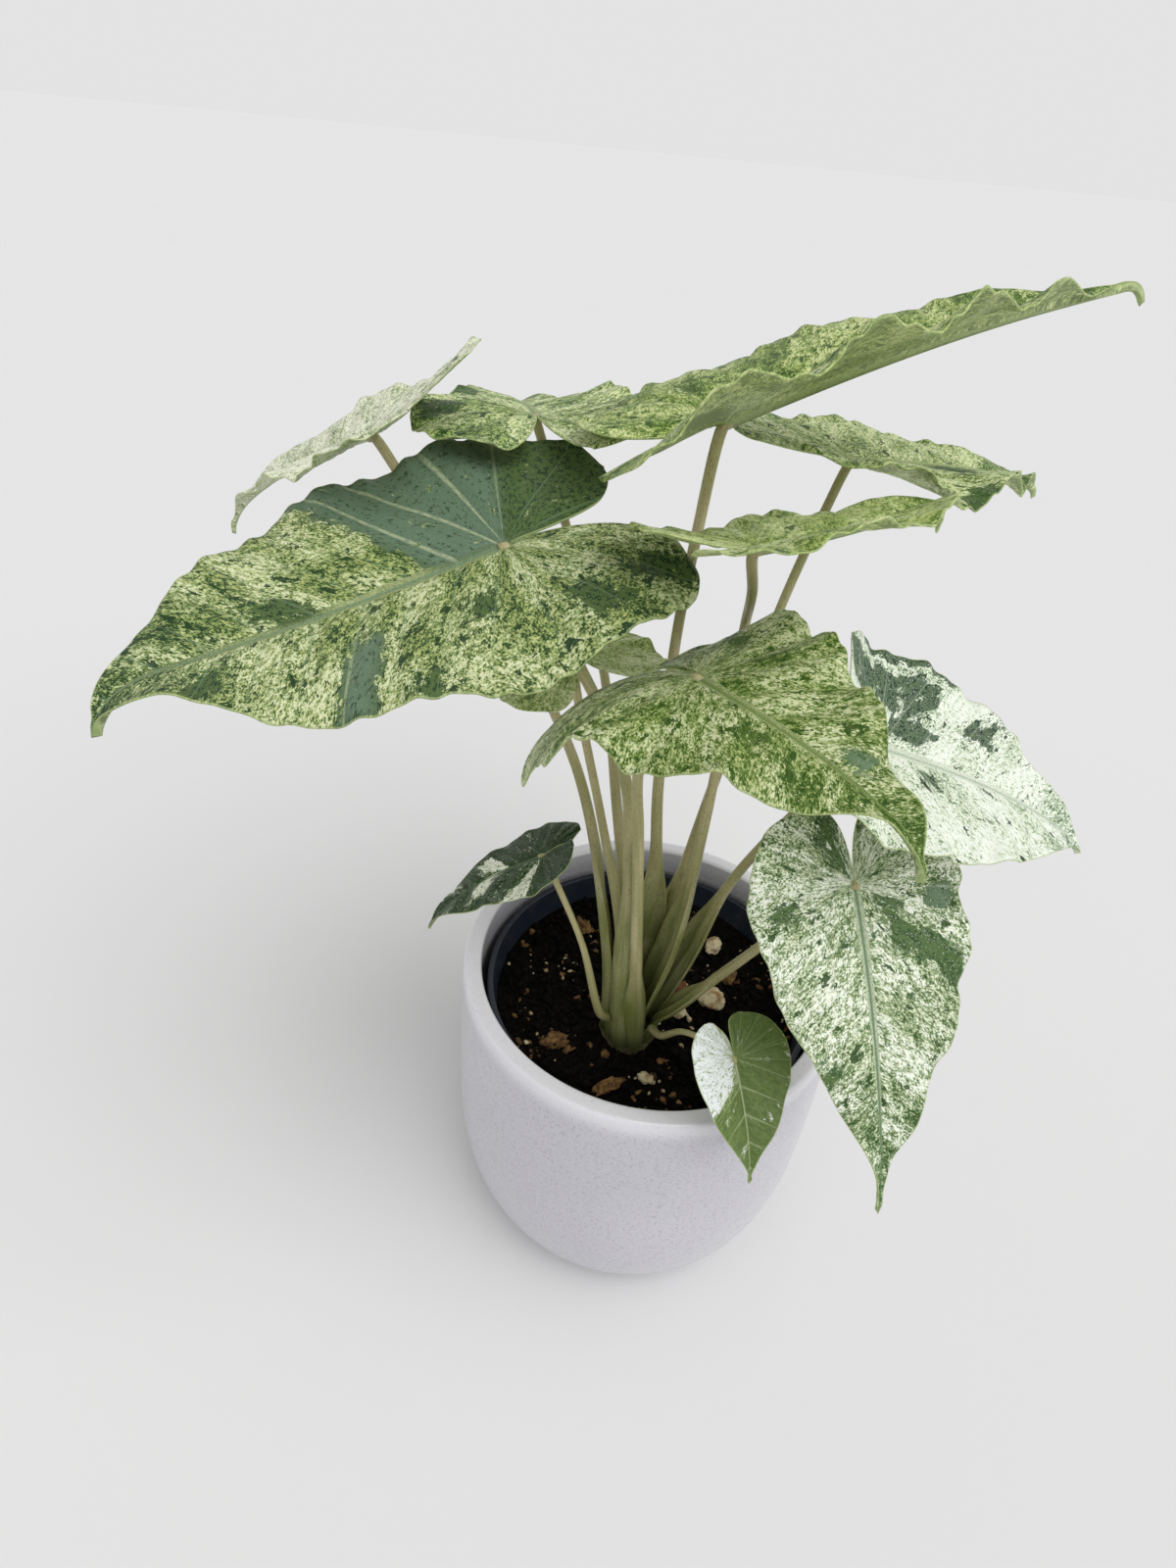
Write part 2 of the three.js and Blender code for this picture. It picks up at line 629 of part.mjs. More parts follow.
function groundAt(x, y) {
  downward.set(new THREE.Vector3(x, y, potHeight), new THREE.Vector3(0, 0, -1));
  return downward.intersectObject(ground)[0].point.z;
}

chips.forEach(({ name, at, size, turn, seed, light }) => {
  place(name, chip(at, size, turn, seed, groundAt), light ? pumice : bark);
});
place('dry_scale', chip(scaleAt, scaleSize, scaleTurn, scaleSeed, groundAt), husk);
leaves.forEach((leaf) => {
  place(`petiole_${leaf.name}`, stalk(leaf), stem);
  place(`blade_${leaf.name}`, blade(leaf), foliage);
});

export default plant;
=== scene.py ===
"""A potted variegated elephant ear: glazed pot, dark mix, sheathed stalks and speckled leaves."""
import math
import random

import bmesh
import bpy
import numpy as np
from mathutils import Matrix, Vector, noise


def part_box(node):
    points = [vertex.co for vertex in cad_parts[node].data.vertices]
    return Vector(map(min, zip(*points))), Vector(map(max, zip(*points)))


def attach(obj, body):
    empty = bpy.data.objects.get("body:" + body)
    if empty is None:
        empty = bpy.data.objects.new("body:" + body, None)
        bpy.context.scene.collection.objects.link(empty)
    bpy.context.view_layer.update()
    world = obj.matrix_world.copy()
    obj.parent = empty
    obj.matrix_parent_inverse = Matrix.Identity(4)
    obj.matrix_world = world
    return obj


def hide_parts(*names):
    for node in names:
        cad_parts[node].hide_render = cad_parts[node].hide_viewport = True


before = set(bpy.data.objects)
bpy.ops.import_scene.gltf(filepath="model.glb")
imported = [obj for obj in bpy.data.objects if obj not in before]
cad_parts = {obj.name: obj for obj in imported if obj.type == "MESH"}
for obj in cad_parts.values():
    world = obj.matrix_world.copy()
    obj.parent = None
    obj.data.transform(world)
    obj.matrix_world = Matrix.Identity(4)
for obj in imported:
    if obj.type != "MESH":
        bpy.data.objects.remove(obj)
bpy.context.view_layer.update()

MM = 0.001

# Camera, where the photographer held it
CAMERA_AT = (-28, -214, 345)
CAMERA_PITCH = 36.3
CAMERA_ROLL = 5.5
CAMERA_LENS = 20.25
CAMERA_SENSOR = 36
CAMERA_RANGE = (0.01, 30)


def add_camera():
    pitch = math.radians(CAMERA_PITCH)
    roll = math.radians(CAMERA_ROLL)
    forward = Vector((0, math.cos(pitch), -math.sin(pitch)))
    level = Vector((1, 0, 0))
    raised = level.cross(forward)
    right = level * math.cos(roll) + raised * math.sin(roll)
    up = raised * math.cos(roll) - level * math.sin(roll)
    data = bpy.data.cameras.new("camera")
    data.lens = CAMERA_LENS
    data.sensor_width = CAMERA_SENSOR
    data.clip_start, data.clip_end = CAMERA_RANGE
    camera = bpy.data.objects.new("camera", data)
    bpy.context.scene.collection.objects.link(camera)
    turn = Matrix((right, up, -forward)).transposed()
    camera.matrix_world = Matrix.Translation(Vector(CAMERA_AT) * MM) @ turn.to_4x4()
    bpy.context.scene.camera = camera


add_camera()

# Leaves, in millimetres and degrees
# at is where the stalk meets the blade. heading is the angle of the tip from +X, pitch its climb and roll
# its tilt. droop is how far it bends down along its length, sweep how far it turns left and hook how far its
# last part bends down. widest is the share of the length where it is widest, taper how much it narrows to
# its tip. Each half has a rise and curl across the blade, a drop of its lobe, and a margin wave of some
# height, count and phase. A half may also tuck its lobe under or shorten it. drip is the length and bend of
# the thread at the tip. foot is the stalk's place on the crown as angle and ring, via the places on its way,
# stalk its radius at the foot and at the top, sheath the share of its length that is open like a trough and
# half the width of that.
OUTER_RING = 7.8
INNER_RING = 2.6
LEAVES = {
    "01": dict(
        at=(-54, -6.5, 262.5), heading=211, pitch=-15, roll=-10, droop=-12, sweep=8, hook=57,
        length=102, half_width=43, lobe=39, lobe_spread=20.5, widest=0.41, taper=0.7,
        left=dict(rise=5, curl=-16, drop=3, wave=(3.4, 2.9, 247)),
        right=dict(rise=11, curl=-12, drop=8, wave=(2, 4, 74)),
        foot=(245, OUTER_RING), via=[(-13, -18, 166), (-18, -12, 201), (-29, -9.5, 225)],
        stalk=(2.2, 1.6), drip=(4, 20), sheath=(0.42, 4.8),
    ),
    "02": dict(
        at=(-4, 9, 292.5), heading=28.5, pitch=18, roll=-9, droop=8.5, sweep=-2, hook=-2,
        length=125, half_width=39, lobe=40, lobe_spread=18.5, widest=0.29, taper=0.5,
        left=dict(rise=25, curl=-39, drop=0, shorten=0.7, wave=(1.2, 3.8, 115)),
        right=dict(rise=21, curl=3.5, drop=2, wave=(2.9, 4.5, 216)),
        foot=(105, OUTER_RING), via=[(-4.5, -7, 157), (-7, 0, 190), (-7.5, 9, 231), (-6, 11, 264)],
        stalk=(2.2, 1.5), drip=(12, 70), sheath=(0.4, 5.6),
    ),
    "03": dict(
        at=(-53, 51, 279), heading=100.5, pitch=-7.5, roll=4, droop=11, sweep=0.5, hook=-5.5,
        length=96.5, half_width=34.5, lobe=32.5, lobe_spread=13, widest=0.29, taper=0.5,
        left=dict(rise=9, curl=-23, drop=7, wave=(1.8, 3, 113)),
        right=dict(rise=9, curl=17, drop=4, wave=(1.9, 3, 265)),
        foot=(145, OUTER_RING), via=[(-12.5, -4, 142), (-19, 10, 178), (-26, 30, 208), (-33, 40, 226)],
        stalk=(2.1, 1.4), drip=(4, 30), sheath=(0.34, 4),
    ),
    "04": dict(
        at=(-94, 25.5, 277), heading=147, pitch=-22.5, roll=-18, droop=20.5, sweep=6, hook=15.5,
        length=77.5, half_width=26.5, lobe=32.5, lobe_spread=13.5, widest=0.31, taper=0.5,
        left=dict(rise=6, curl=3, drop=-5.5, wave=(1.3, 3, 266)),
        right=dict(rise=11, curl=-9.5, drop=-6, wave=(1.2, 2.9, -13)),
        foot=(180, OUTER_RING), via=[(-16.5, -12.5, 131), (-32, 5, 190), (-62, 26, 233), (-78, 25, 253)],
        stalk=(2.1, 1.4), drip=(5, 30), sheath=(0.36, 4.4),
    ),
    "05": dict(
        at=(39, 52, 275), heading=32.5, pitch=-6, roll=-9, droop=6.5, sweep=2, hook=18,
        length=95, half_width=36.5, lobe=34.5, lobe_spread=14.5, widest=0.32, taper=0.5,
        left=dict(rise=19.5, curl=-9, drop=-1.5, wave=(1.2, 3, -32)),
        right=dict(rise=-6, curl=0, drop=-8, wave=(4.4, 2.5, 303)),
        foot=(65, OUTER_RING), via=[(0, -10, 125), (6, 2, 160), (24, 33, 234), (33.5, 46, 261)],
        stalk=(2.1, 1.4), drip=(5, 40), sheath=(0.36, 5.4),
    ),
    "06": dict(
        at=(3, -28, 276), heading=29, pitch=3.5, roll=-13.5, droop=7.5, sweep=27, hook=80,
        length=79, half_width=30, lobe=22, lobe_spread=12, widest=0.3, taper=0.5,
        left=dict(rise=2, curl=-5, drop=-6, wave=(1.2, 3, -40)),
        right=dict(rise=14, curl=-4, drop=-1, wave=(1.8, 3, 160)),
        foot=(15, INNER_RING), via=[(4, -18, 147), (7, -11, 182), (9.5, 2.5, 241), (7, -13, 259)],
        stalk=(2.1, 1.3), drip=(3, 20), sheath=(0.42, 6),
    ),
    "07": dict(
        at=(-6, -38.5, 249), heading=-56, pitch=6.5, roll=-16, droop=30.5, sweep=16.5, hook=39,
        length=67.5, half_width=34.5, lobe=35, lobe_spread=21.5, widest=0.34, taper=0.76,
        left=dict(rise=26.5, curl=1.5, drop=20.5, wave=(2.1, 4.4, 72)),
        right=dict(rise=-15, curl=-29.5, tuck=-60, drop=20, wave=(2.2, 4, 264)),
        foot=(285, OUTER_RING),
        via=[(-9, -24, 152), (-12.5, -21.5, 188), (-15, -23, 210), (-12.5, -29, 232)],
        stalk=(2.2, 1.5), drip=(4, 20), sheath=(0.26, 4),
    ),
    "08": dict(
        at=(47, -17, 221.5), heading=5.5, pitch=-16, roll=17, droop=20, sweep=0.5, hook=11,
        length=78, half_width=31, lobe=17.5, lobe_spread=12, widest=0.34, taper=0.45,
        left=dict(rise=13, curl=0, drop=-14, wave=(0.9, 3.8, -27)),
        right=dict(rise=0, curl=0, drop=0, wave=(1.2, 4, 0)),
        foot=(25, OUTER_RING), via=[(9, -15, 134), (18, -14, 167), (35, -16, 204)],
        stalk=(2.2, 1.4), drip=(2, 20), sheath=(0.55, 5.2),
    ),
    "09": dict(
        at=(47.5, -31, 185.5), heading=-75.5, pitch=-39.5, roll=-2, droop=11.5, sweep=-8, hook=11.5,
        length=84, half_width=32, lobe=21, lobe_spread=9, widest=0.3, taper=0.8,
        left=dict(rise=1.5, curl=0, drop=0, wave=(1.9, 4.7, 185)),
        right=dict(rise=3.5, curl=0, drop=-3, wave=(2, 3.9, 264)),
        foot=(-12, OUTER_RING), via=[(8, -22, 118), (27, -26, 151), (38, -28, 171)],
        stalk=(2.1, 1.4), drip=(3, 10), sheath=(0.45, 4.2),
    ),
    "10": dict(
        at=(-39.5, -14, 170.5), heading=187, pitch=-27, roll=5.5, droop=30.5, sweep=3, hook=7.5,
        length=46, half_width=17.5, lobe=12, lobe_spread=7.5, widest=0.33, taper=0.47,
        left=dict(rise=0, curl=3, drop=-5, wave=(0.5, 3, -70)),
        right=dict(rise=-4, curl=-3, drop=0.5, wave=(0.5, 3, 170)),
        foot=(212, OUTER_RING), via=[(-17, -24, 113), (-25, -19, 139), (-35, -15, 161)],
        stalk=(1.6, 1), drip=(2, 10), sheath=(0.2, 2.4),
    ),
    "11": dict(
        at=(20.5, -57, 139.5), heading=-65, pitch=-44, roll=-2, droop=25, sweep=-5, hook=2.5,
        length=36, half_width=15.5, lobe=11, lobe_spread=5.5, widest=0.3, taper=0.53,
        left=dict(rise=15, curl=6, drop=5.5, wave=(0.5, 3, 70)),
        right=dict(rise=15, curl=4.5, drop=2.5, wave=(0.5, 3, 6)),
        foot=(318, OUTER_RING), via=[(3, -31, 113), (8, -39, 126), (14, -48, 134)],
        stalk=(1.5, 0.9), drip=(2, 10), sheath=(0.25, 2.2),
    ),
    "12": dict(
        at=(-35.5, 10.5, 227.5), heading=106, pitch=2.5, roll=0, droop=20, sweep=0, hook=0,
        length=36, half_width=23.5, lobe=26, lobe_spread=10, widest=0.32, taper=0.5,
        left=dict(rise=-3, curl=-3, drop=3, wave=(0.8, 3, 142)),
        right=dict(rise=3, curl=-3, drop=-3, shorten=0.8, wave=(1, 3, -14)),
        foot=(195, INNER_RING), via=[(-14, -13, 145), (-23, -5.5, 179.5), (-34, 3.5, 219)],
        stalk=(2.1, 1.3), drip=(2, 10), sheath=(0.34, 4),
    ),
}

# Blade
BLADE_THICKNESS = 0.45
RIB_THICKNESS = 2.2
RIB_HALF_WIDTH = 1.5
RIB_AT_STALK = 1.1
RIB_NARROWING = 0.8
RIB_FADE = 1.6
WELD_REACH = 0.02
COMMON_HALF_WIDTH = 40
DROOP_POWER = 1.5
HOOK_START = 0.8
SPREAD_POWER = 4
TAPER_POWER = 6
SLIT_ROUND = 0.98
LOBE_DROP_POWER = 1.7
WAVE_REACH = 1.2
WAVE_FADE = 0.15
RIB_STEPS = 240
LOBE_ROWS = 34
BLADE_COLUMNS = 22
ROW_PITCH = 1.1
DRIP_ROWS = 8
DRIP_HALF_WIDTH = 0.7
DRIP_START = 0.9
HALF_SHIFT = 40.0
NO_EDGE = 99

# Side veins leave the midrib at this slope, and run back into the lobes as a fan from the stalk.
VEIN_SLOPE = 0.62
VEIN_FAN = 26.0


def unit(vectors):
    return vectors / np.maximum(np.linalg.norm(vectors, axis=-1, keepdims=True), 1e-12)


def outer_margin(leaf, along):
    """Half width of a blade at a place along its midrib."""
    part = np.clip((along + leaf["lobe"]) / (leaf["length"] + leaf["lobe"]), 0, 1)
    widest = leaf["widest"]
    narrowing = 0.5 * (1 - widest) / widest
    swell = (part / widest) ** 0.5 * ((1 - part) / (1 - widest)) ** narrowing
    spread = leaf["lobe_spread"] * (1 - part) ** SPREAD_POWER
    full = leaf["half_width"] - leaf["lobe_spread"] * (1 - widest) ** SPREAD_POWER
    return (spread + full * swell) * (1 - leaf["taper"] * part**TAPER_POWER)


def inner_margin(leaf, along):
    """Distance of the slit between the lobes from the midrib line."""
    back = np.clip(-along / leaf["lobe"], 0, 1)
    spread = leaf["lobe_spread"]
    return spread * (1 - np.sqrt(1 - back * back)) * SLIT_ROUND + (1 - SLIT_ROUND) * spread * back


def midrib_frames(leaf):
    """Points along the midrib and its drip tip, with the directions along, left and above."""
    length = leaf["length"]
    drip_length, drip_bend = leaf["drip"]
    along_list = np.linspace(0, length + drip_length, RIB_STEPS + 1)
    part = along_list / length
    inside = np.minimum(part, 1)
    late = np.clip((inside - HOOK_START) / (1 - HOOK_START), 0, 1)
    bend = leaf["droop"] * inside**DROOP_POWER + leaf["hook"] * late**DROOP_POWER
    past = np.clip((along_list - length) / max(drip_length, 1e-6), 0, 1)
    climb = np.radians(leaf["pitch"] - bend - drip_bend * past)
    turn = np.radians(leaf["heading"] + leaf["sweep"] * inside)
    along = np.stack([np.cos(climb) * np.cos(turn), np.cos(climb) * np.sin(turn), np.sin(climb)], axis=1)
    step = along_list[1]
    points = np.zeros_like(along)
    points[1:] = np.cumsum((along[1:] + along[:-1]) * step / 2, axis=0)
    points += np.array(leaf["at"])
    level = np.stack([-np.sin(turn), np.cos(turn), np.zeros_like(turn)], axis=1)
    up = np.cross(along, level)
    roll = math.radians(leaf["roll"])
    left = level * math.cos(roll) + up * math.sin(roll)
    above = up * math.cos(roll) - level * math.sin(roll)
    return along_list, points, along, left, above


def frame_at(frames, along):
    """Midrib point and directions at each place along it, straight back behind the stalk."""
    places, points, forward, left, above = frames
    ahead = np.maximum(along, 0)
    point, side, up = [
        np.stack([np.interp(ahead, places, row[:, i]) for i in range(3)], axis=-1)
        for row in (points, left, above)
    ]
    return point + forward[0] * np.minimum(along, 0)[..., None], unit(side), unit(up)


def blade_points(leaf, frames, along, out, side):
    """Points of the blade's surface: along the midrib, then out across the left (1) or right (-1) half."""
    half = leaf["left"] if side > 0 else leaf["right"]
    back = np.clip(-along / leaf["lobe"], 0, 1)
    shortened = np.where(along < 0, along * half.get("shorten", 1), along)
    point, left, above = frame_at(frames, shortened)
    start = math.radians(half["rise"])
    curl = half["curl"] + half.get("tuck", 0) * back
    curl = np.where(np.abs(curl) < 0.1, 0.1, curl)
    bend = np.radians(curl) / leaf["half_width"]
    across = (np.sin(start + bend * out) - math.sin(start)) / bend
    height = (math.cos(start) - np.cos(start + bend * out)) / bend
    height = height - half["drop"] * back**LOBE_DROP_POWER
    wave_height, wave_count, wave_phase = half["wave"]
    part = (along + leaf["lobe"]) / (leaf["length"] + leaf["lobe"])
    reach = np.minimum(WAVE_REACH, out / np.maximum(outer_margin(leaf, along), 0.01))
    fade = np.clip((1 - along / leaf["length"]) / WAVE_FADE, 0, 1)
    swing = np.sin(2 * math.pi * wave_count * part + math.radians(wave_phase))
    height = height + wave_height * reach * reach * fade * swing
    return point + left * (side * across)[..., None] + above * height[..., None]


def vein_coordinates(along, out):
    """Which side vein a place lies on, as where that vein leaves the midrib, and how far out along it."""
    start = along - VEIN_SLOPE * out
    length = out * math.hypot(1, VEIN_SLOPE)
    first = math.atan2(1, VEIN_SLOPE)
    angle = np.arctan2(out, along)
    fan = -(angle - first) * VEIN_FAN
    radius = np.hypot(along, out)
    in_fan = start < 0
    return np.where(in_fan, fan, start), np.where(in_fan, radius, length)


# Shader building
def srgb(red, green, blue):
    """A colour given as 0 to 255 screen values, in the shader's linear values."""
    screen = [value / 255 for value in (red, green, blue)]
    linear = [v / 12.92 if v <= 0.04045 else ((v + 0.055) / 1.055) ** 2.4 for v in screen]
    return (*linear, 1.0)


class Shader:
    """A material with one Principled shader, and short calls that add nodes to it."""

    def __init__(self, name, **constants):
        self.material = bpy.data.materials.new(name)
        self.material.use_nodes = True
        self.tree = self.material.node_tree
        self.surface = self.tree.nodes["Principled BSDF"]
        for key, value in constants.items():
            self.surface.inputs[key.replace("_", " ")].default_value = value

    def join(self, socket, value):
        """Feeds a socket from another node, or sets it to a number or to a colour of screen values."""
        if isinstance(value, bpy.types.NodeSocket):
            self.tree.links.new(value, socket)
        else:
            socket.default_value = srgb(*value) if isinstance(value, tuple) else value

    def add(self, kind, inputs=(), **settings):
        node = self.tree.nodes.new(kind)
        for key, value in settings.items():
            setattr(node, key, value)
        for key, value in dict(inputs).items():
            self.join(node.inputs[key], value)
        return node

    def maths(self, operation, first, second, third=0.0):
        return self.add("ShaderNodeMath", {0: first, 1: second, 2: third}, operation=operation).outputs[0]

    def times(self, value, factor, more=0.0):
        """value * factor + more."""
        return self.maths("MULTIPLY_ADD", value, factor, more)

    def step(self, value, low, high, start=0.0, end=1.0):
        """Eases from start to end as value goes from low to high."""
        node = self.add("ShaderNodeMapRange", interpolation_type="SMOOTHSTEP", clamp=True)
        for index, item in enumerate((value, low, high, start, end)):
            self.join(node.inputs[index], item)
        return node.outputs[0]

    def mix(self, share, first, second):
        node = self.add("ShaderNodeMix", data_type="RGBA")
        for index, item in ((0, share), (6, first), (7, second)):
            self.join(node.inputs[index], item)
        return node.outputs[2]

    def attribute(self, name):
        """The three numbers that the mesh holds under this name."""
        node = self.add("ShaderNodeAttribute", attribute_name=name)
        return self.add("ShaderNodeSeparateXYZ", {0: node.outputs["Vector"]}).outputs

    def place(self):
        return self.add("ShaderNodeTexCoord").outputs["Object"]

    def stretched(self, parts, scales):
        """A vector of numbers, each multiplied by its scale."""
        scaled = [self.times(part, scale) for part, scale in zip(parts, scales)]
        return self.add("ShaderNodeCombineXYZ", dict(enumerate(scaled))).outputs[0]

    def noise(self, vector, scale, detail, roughness=0.5, distortion=0.0):
        inputs = {"Vector": vector, "Scale": scale, "Detail": detail, "Roughness": roughness}
        inputs["Distortion"] = distortion
        return self.add("ShaderNodeTexNoise", inputs).outputs[0]

    def dots(self, vector, scale):
        """Distance to the nearest of many scattered points."""
        return self.add("ShaderNodeTexVoronoi", {"Vector": vector, "Scale": scale}).outputs["Distance"]

    def bump(self, height, strength, distance):
        inputs = {"Strength": strength, "Distance": distance, "Height": height}
        self.join(self.surface.inputs["Normal"], self.add("ShaderNodeBump", inputs).outputs[0])

    def colour(self, value):
        self.join(self.surface.inputs["Base Color"], value)

    def roughness(self, value):
        self.join(self.surface.inputs["Roughness"], value)


# Materials with a grain. patch and grain are noise of a scale, detail and roughness, each with the edge
# where it starts and ends. tones are the two colours of the patches, streak is the colour of the grain.
GRAINED = {
    "crumb": dict(
        patch=(300, 2, 0.5), patch_edge=(0.4, 0.62), tones=((4, 3, 2), (14, 11, 8)),
        grain=((1500, 1500, 1500), 4, 0.7), grain_edge=(0.55, 0.75), streak=(32, 24, 16),
        roughness=(0.95, 0.75), relief=(0.8, 0.0005), ior=1.4, specular=0.15,
    ),
    "bark": dict(
        patch=(180, 3, 0.6), patch_edge=(0.35, 0.65), tones=((84, 62, 38), (140, 106, 64)),
        grain=((900, 500, 2500), 4, 0.65), grain_edge=(0.45, 0.7), streak=(48, 30, 21),
        roughness=(0.75, 0.95), relief=(0.8, 0.0005), ior=1.42, specular=0.2,
    ),
    "corm": dict(
        patch=(160, 3, 0.5), patch_edge=(0.4, 0.6), tones=((58, 52, 30), (78, 80, 42)),
        grain=((700, 700, 160), 4, 0.65), grain_edge=(0.5, 0.72), streak=(34, 28, 18),
        roughness=(0.7, 0.9), relief=(0.7, 0.0006), ior=1.42, specular=0.5,
    ),
    "husk": dict(
        patch=(240, 3, 0.6), patch_edge=(0.35, 0.65), tones=((98, 52, 34), (146, 96, 62)),
        grain=((1500, 500, 900), 4, 0.6), grain_edge=(0.5, 0.7), streak=(52, 28, 20),
        roughness=(0.5, 0.75), relief=(0.7, 0.0004), ior=1.4, specular=0.5,
    ),
}


def grained_material(name):
    """Patches of two tones, crossed by streaks along a grain that also roughens the surface."""
    kind = GRAINED[name]
    shader = Shader(name, IOR=kind["ior"], Specular_IOR_Level=kind["specular"])
    where = shader.place()
    parts = shader.add("ShaderNodeSeparateXYZ", {0: where}).outputs
    stretch, detail, rough = kind["grain"]
    grain = shader.noise(shader.stretched(parts, stretch), 1, detail, rough)
    patch = shader.noise(where, *kind["patch"])
    tone = shader.mix(shader.step(patch, *kind["patch_edge"]), *kind["tones"])
    shader.colour(shader.mix(shader.step(grain, *kind["grain_edge"]), tone, kind["streak"]))
    shader.roughness(shader.step(grain, 0.3, 0.7, *kind["roughness"]))
    shader.bump(grain, *kind["relief"])
    return shader.material


# Mesh building
def build_piece(name, points, faces, materials, nodes):
    """A smooth mesh object from points in millimetres, which stands for these nodes of the frame."""
    mesh = bpy.data.meshes.new(name)
    mesh.from_pydata((np.asarray(points, float) * MM).tolist(), [], faces)
    mesh.validate()
    mesh.shade_smooth()
    for material in materials:
        mesh.materials.append(material)
    piece = bpy.data.objects.new(name, mesh)
    bpy.context.scene.collection.objects.link(piece)
    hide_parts(*nodes)
    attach(piece, "root")
    return piece


def set_numbers(mesh, name, values):
    """Keeps three numbers for each point of a mesh, for its material to read."""
    attribute = mesh.attributes.new(name, "FLOAT_VECTOR", "POINT")
    attribute.data.foreach_set("vector", np.asarray(values, np.float32).ravel())


def grid_faces(rows, columns, closed=False, first=0):
    """Faces between neighbouring rows of points. A closed grid joins each row's last point to its first."""
    faces = []
    for i in range(rows - 1):
        for j in range(columns if closed else columns - 1):
            after = (j + 1) % columns
            low = first + i * columns
            faces.append((low + j, low + after, low + columns + after, low + columns + j))
    return faces


def tube_faces(rows, sides):
    """Faces of a closed grid with both of its ends filled."""
    faces = grid_faces(rows, sides, closed=True)
    last = (rows - 1) * sides
    faces.append(tuple(range(sides))[::-1])
    faces.append(tuple(range(last, last + sides)))
    return faces


def turned(profile, sides):
    """Points and faces of a profile of (radius, height) turned round the Z axis, closed at both ends."""
    angles = np.linspace(0, 2 * math.pi, sides, endpoint=False)
    ring = np.stack([np.cos(angles), np.sin(angles)], axis=1)
    rows = [np.column_stack([radius * ring, np.full(sides, height)]) for radius, height in profile]
    return np.concatenate(rows), tube_faces(len(profile), sides)


def arc(centre, radius, start, end, steps):
    """Points of a (radius, height) profile along an arc, with angles in degrees."""
    angles = np.radians(np.linspace(start, end, steps + 1))
    return [(centre[0] + radius * math.cos(a), centre[1] + radius * math.sin(a)) for a in angles]


def hills(point, scale, octaves):
    """Smooth noise of several sizes at a point in millimetres, about -1 to 1."""
    total = 0.0
    for octave in range(octaves):
        size = 2**octave
        total += noise.noise(Vector(point) * (size / scale)) / size
    return total


def apply_modifiers(piece):
    """Keeps a piece's modifiers in its mesh."""
    bpy.context.view_layer.update()
    result = piece.evaluated_get(bpy.context.evaluated_depsgraph_get())
    mesh = bpy.data.meshes.new_from_object(result)
    piece.modifiers.clear()
    piece.data = mesh


# Outer pot, in millimetres
POT_HEIGHT = 115
POT_RIM_RADIUS = 65
POT_BELLY_RADIUS = 66.5
POT_BELLY_HEIGHT = 58
POT_BASE_RADIUS = 45.5
POT_WALL = 6
POT_FLOOR = 6
POT_RIM_ROUND = 1.5
POT_FOOT_ROUND = 1.2
POT_FOOT_WIDTH = 6
POT_INSIDE_BOTTOM = 14
POT_BELLY_POWER = 2.5
POT_SIDES = 160
POT_OUTSIDE_ROWS = 44
POT_INSIDE_ROWS = 12
BARE_BELOW = 0.1
FLAT_CENTRE = 5

# Nursery pot
NURSERY_BOTTOM = 6.3
NURSERY_RIM_HEIGHT = 105
NURSERY_RIM_RADIUS = 57
NURSERY_BASE_RADIUS = 43
NURSERY_WALL = 1.2
NURSERY_LIP = 0.9
NURSERY_LIP_HEIGHT = 4
NURSERY_BEAD = 0.45
NURSERY_BASE_ROUND = 0.8
NURSERY_FOOT_WIDTH = 3
DRAIN_RADIUS = 3
DRAIN_CIRCLE = 30
DRAIN_COUNT = 6
DRAIN_SIDES = 24


def pot_outer_radius(height):
    if height >= POT_BELLY_HEIGHT:
        up = (height - POT_BELLY_HEIGHT) / (POT_HEIGHT - POT_BELLY_HEIGHT)
        return POT_BELLY_RADIUS + (POT_RIM_RADIUS - POT_BELLY_RADIUS) * up * up
    down = 1 - height / POT_BELLY_HEIGHT
    return POT_BASE_RADIUS + (POT_BELLY_RADIUS - POT_BASE_RADIUS) * math.sqrt(1 - down**POT_BELLY_POWER)


def glaze_material():
    """Off-white glaze with a lavender cast, fine grey specks, a faint orange-peel surface and painted light
    that makes the rim paler.
    """
    shader = Shader("white_glaze", Coat_Weight=0.5, Coat_Roughness=0.15, IOR=1.5)
    where = shader.place()
    cloud = shader.noise(where, 14, 2, 0.5)
    peel = shader.noise(where, 300, 2, 0.5)
    grain = shader.noise(where, 1100, 2, 0.7)
    tone = shader.mix(shader.step(cloud, 0.3, 0.7), (188, 186, 194), (195, 193, 200))
    tone = shader.mix(shader.step(grain, 0.52, 0.64, 0, 0.75), tone, (162, 158, 170))
    # Painted light: the glaze is painted paler near the top of the rim, where light from above falls on it.
    height = shader.add("ShaderNodeSeparateXYZ", {0: where}).outputs[2]
    tone = shader.mix(shader.step(height, 0.106, 0.1135, 0, 0.7), tone, (226, 225, 230))
    size = shader.step(shader.noise(where, 160, 2, 0.5), 0.56, 0.76, 0.03, 0.2)
    dot = shader.maths("LESS_THAN", shader.dots(where, 420), size)
    shader.colour(shader.mix(shader.times(dot, 0.5), tone, (128, 124, 130)))
    shader.roughness(shader.step(peel, 0.3, 0.7, 0.28, 0.36))
    shader.bump(shader.times(grain, 0.1, peel), 0.12, 0.0002)
    return shader.material


def bisque_material():
    """Bare fired clay of the pot's underside."""
    shader = Shader("bare_clay", IOR=1.45)
    where = shader.place()
    grain = shader.noise(where, 700, 5, 0.65)
    shader.colour(shader.mix(grain, (214, 205, 192), (190, 180, 166)))
    shader.roughness(shader.step(grain, 0.3, 0.7, 0.75, 0.95))
    shader.bump(grain, 0.5, 0.0003)
    return shader.material


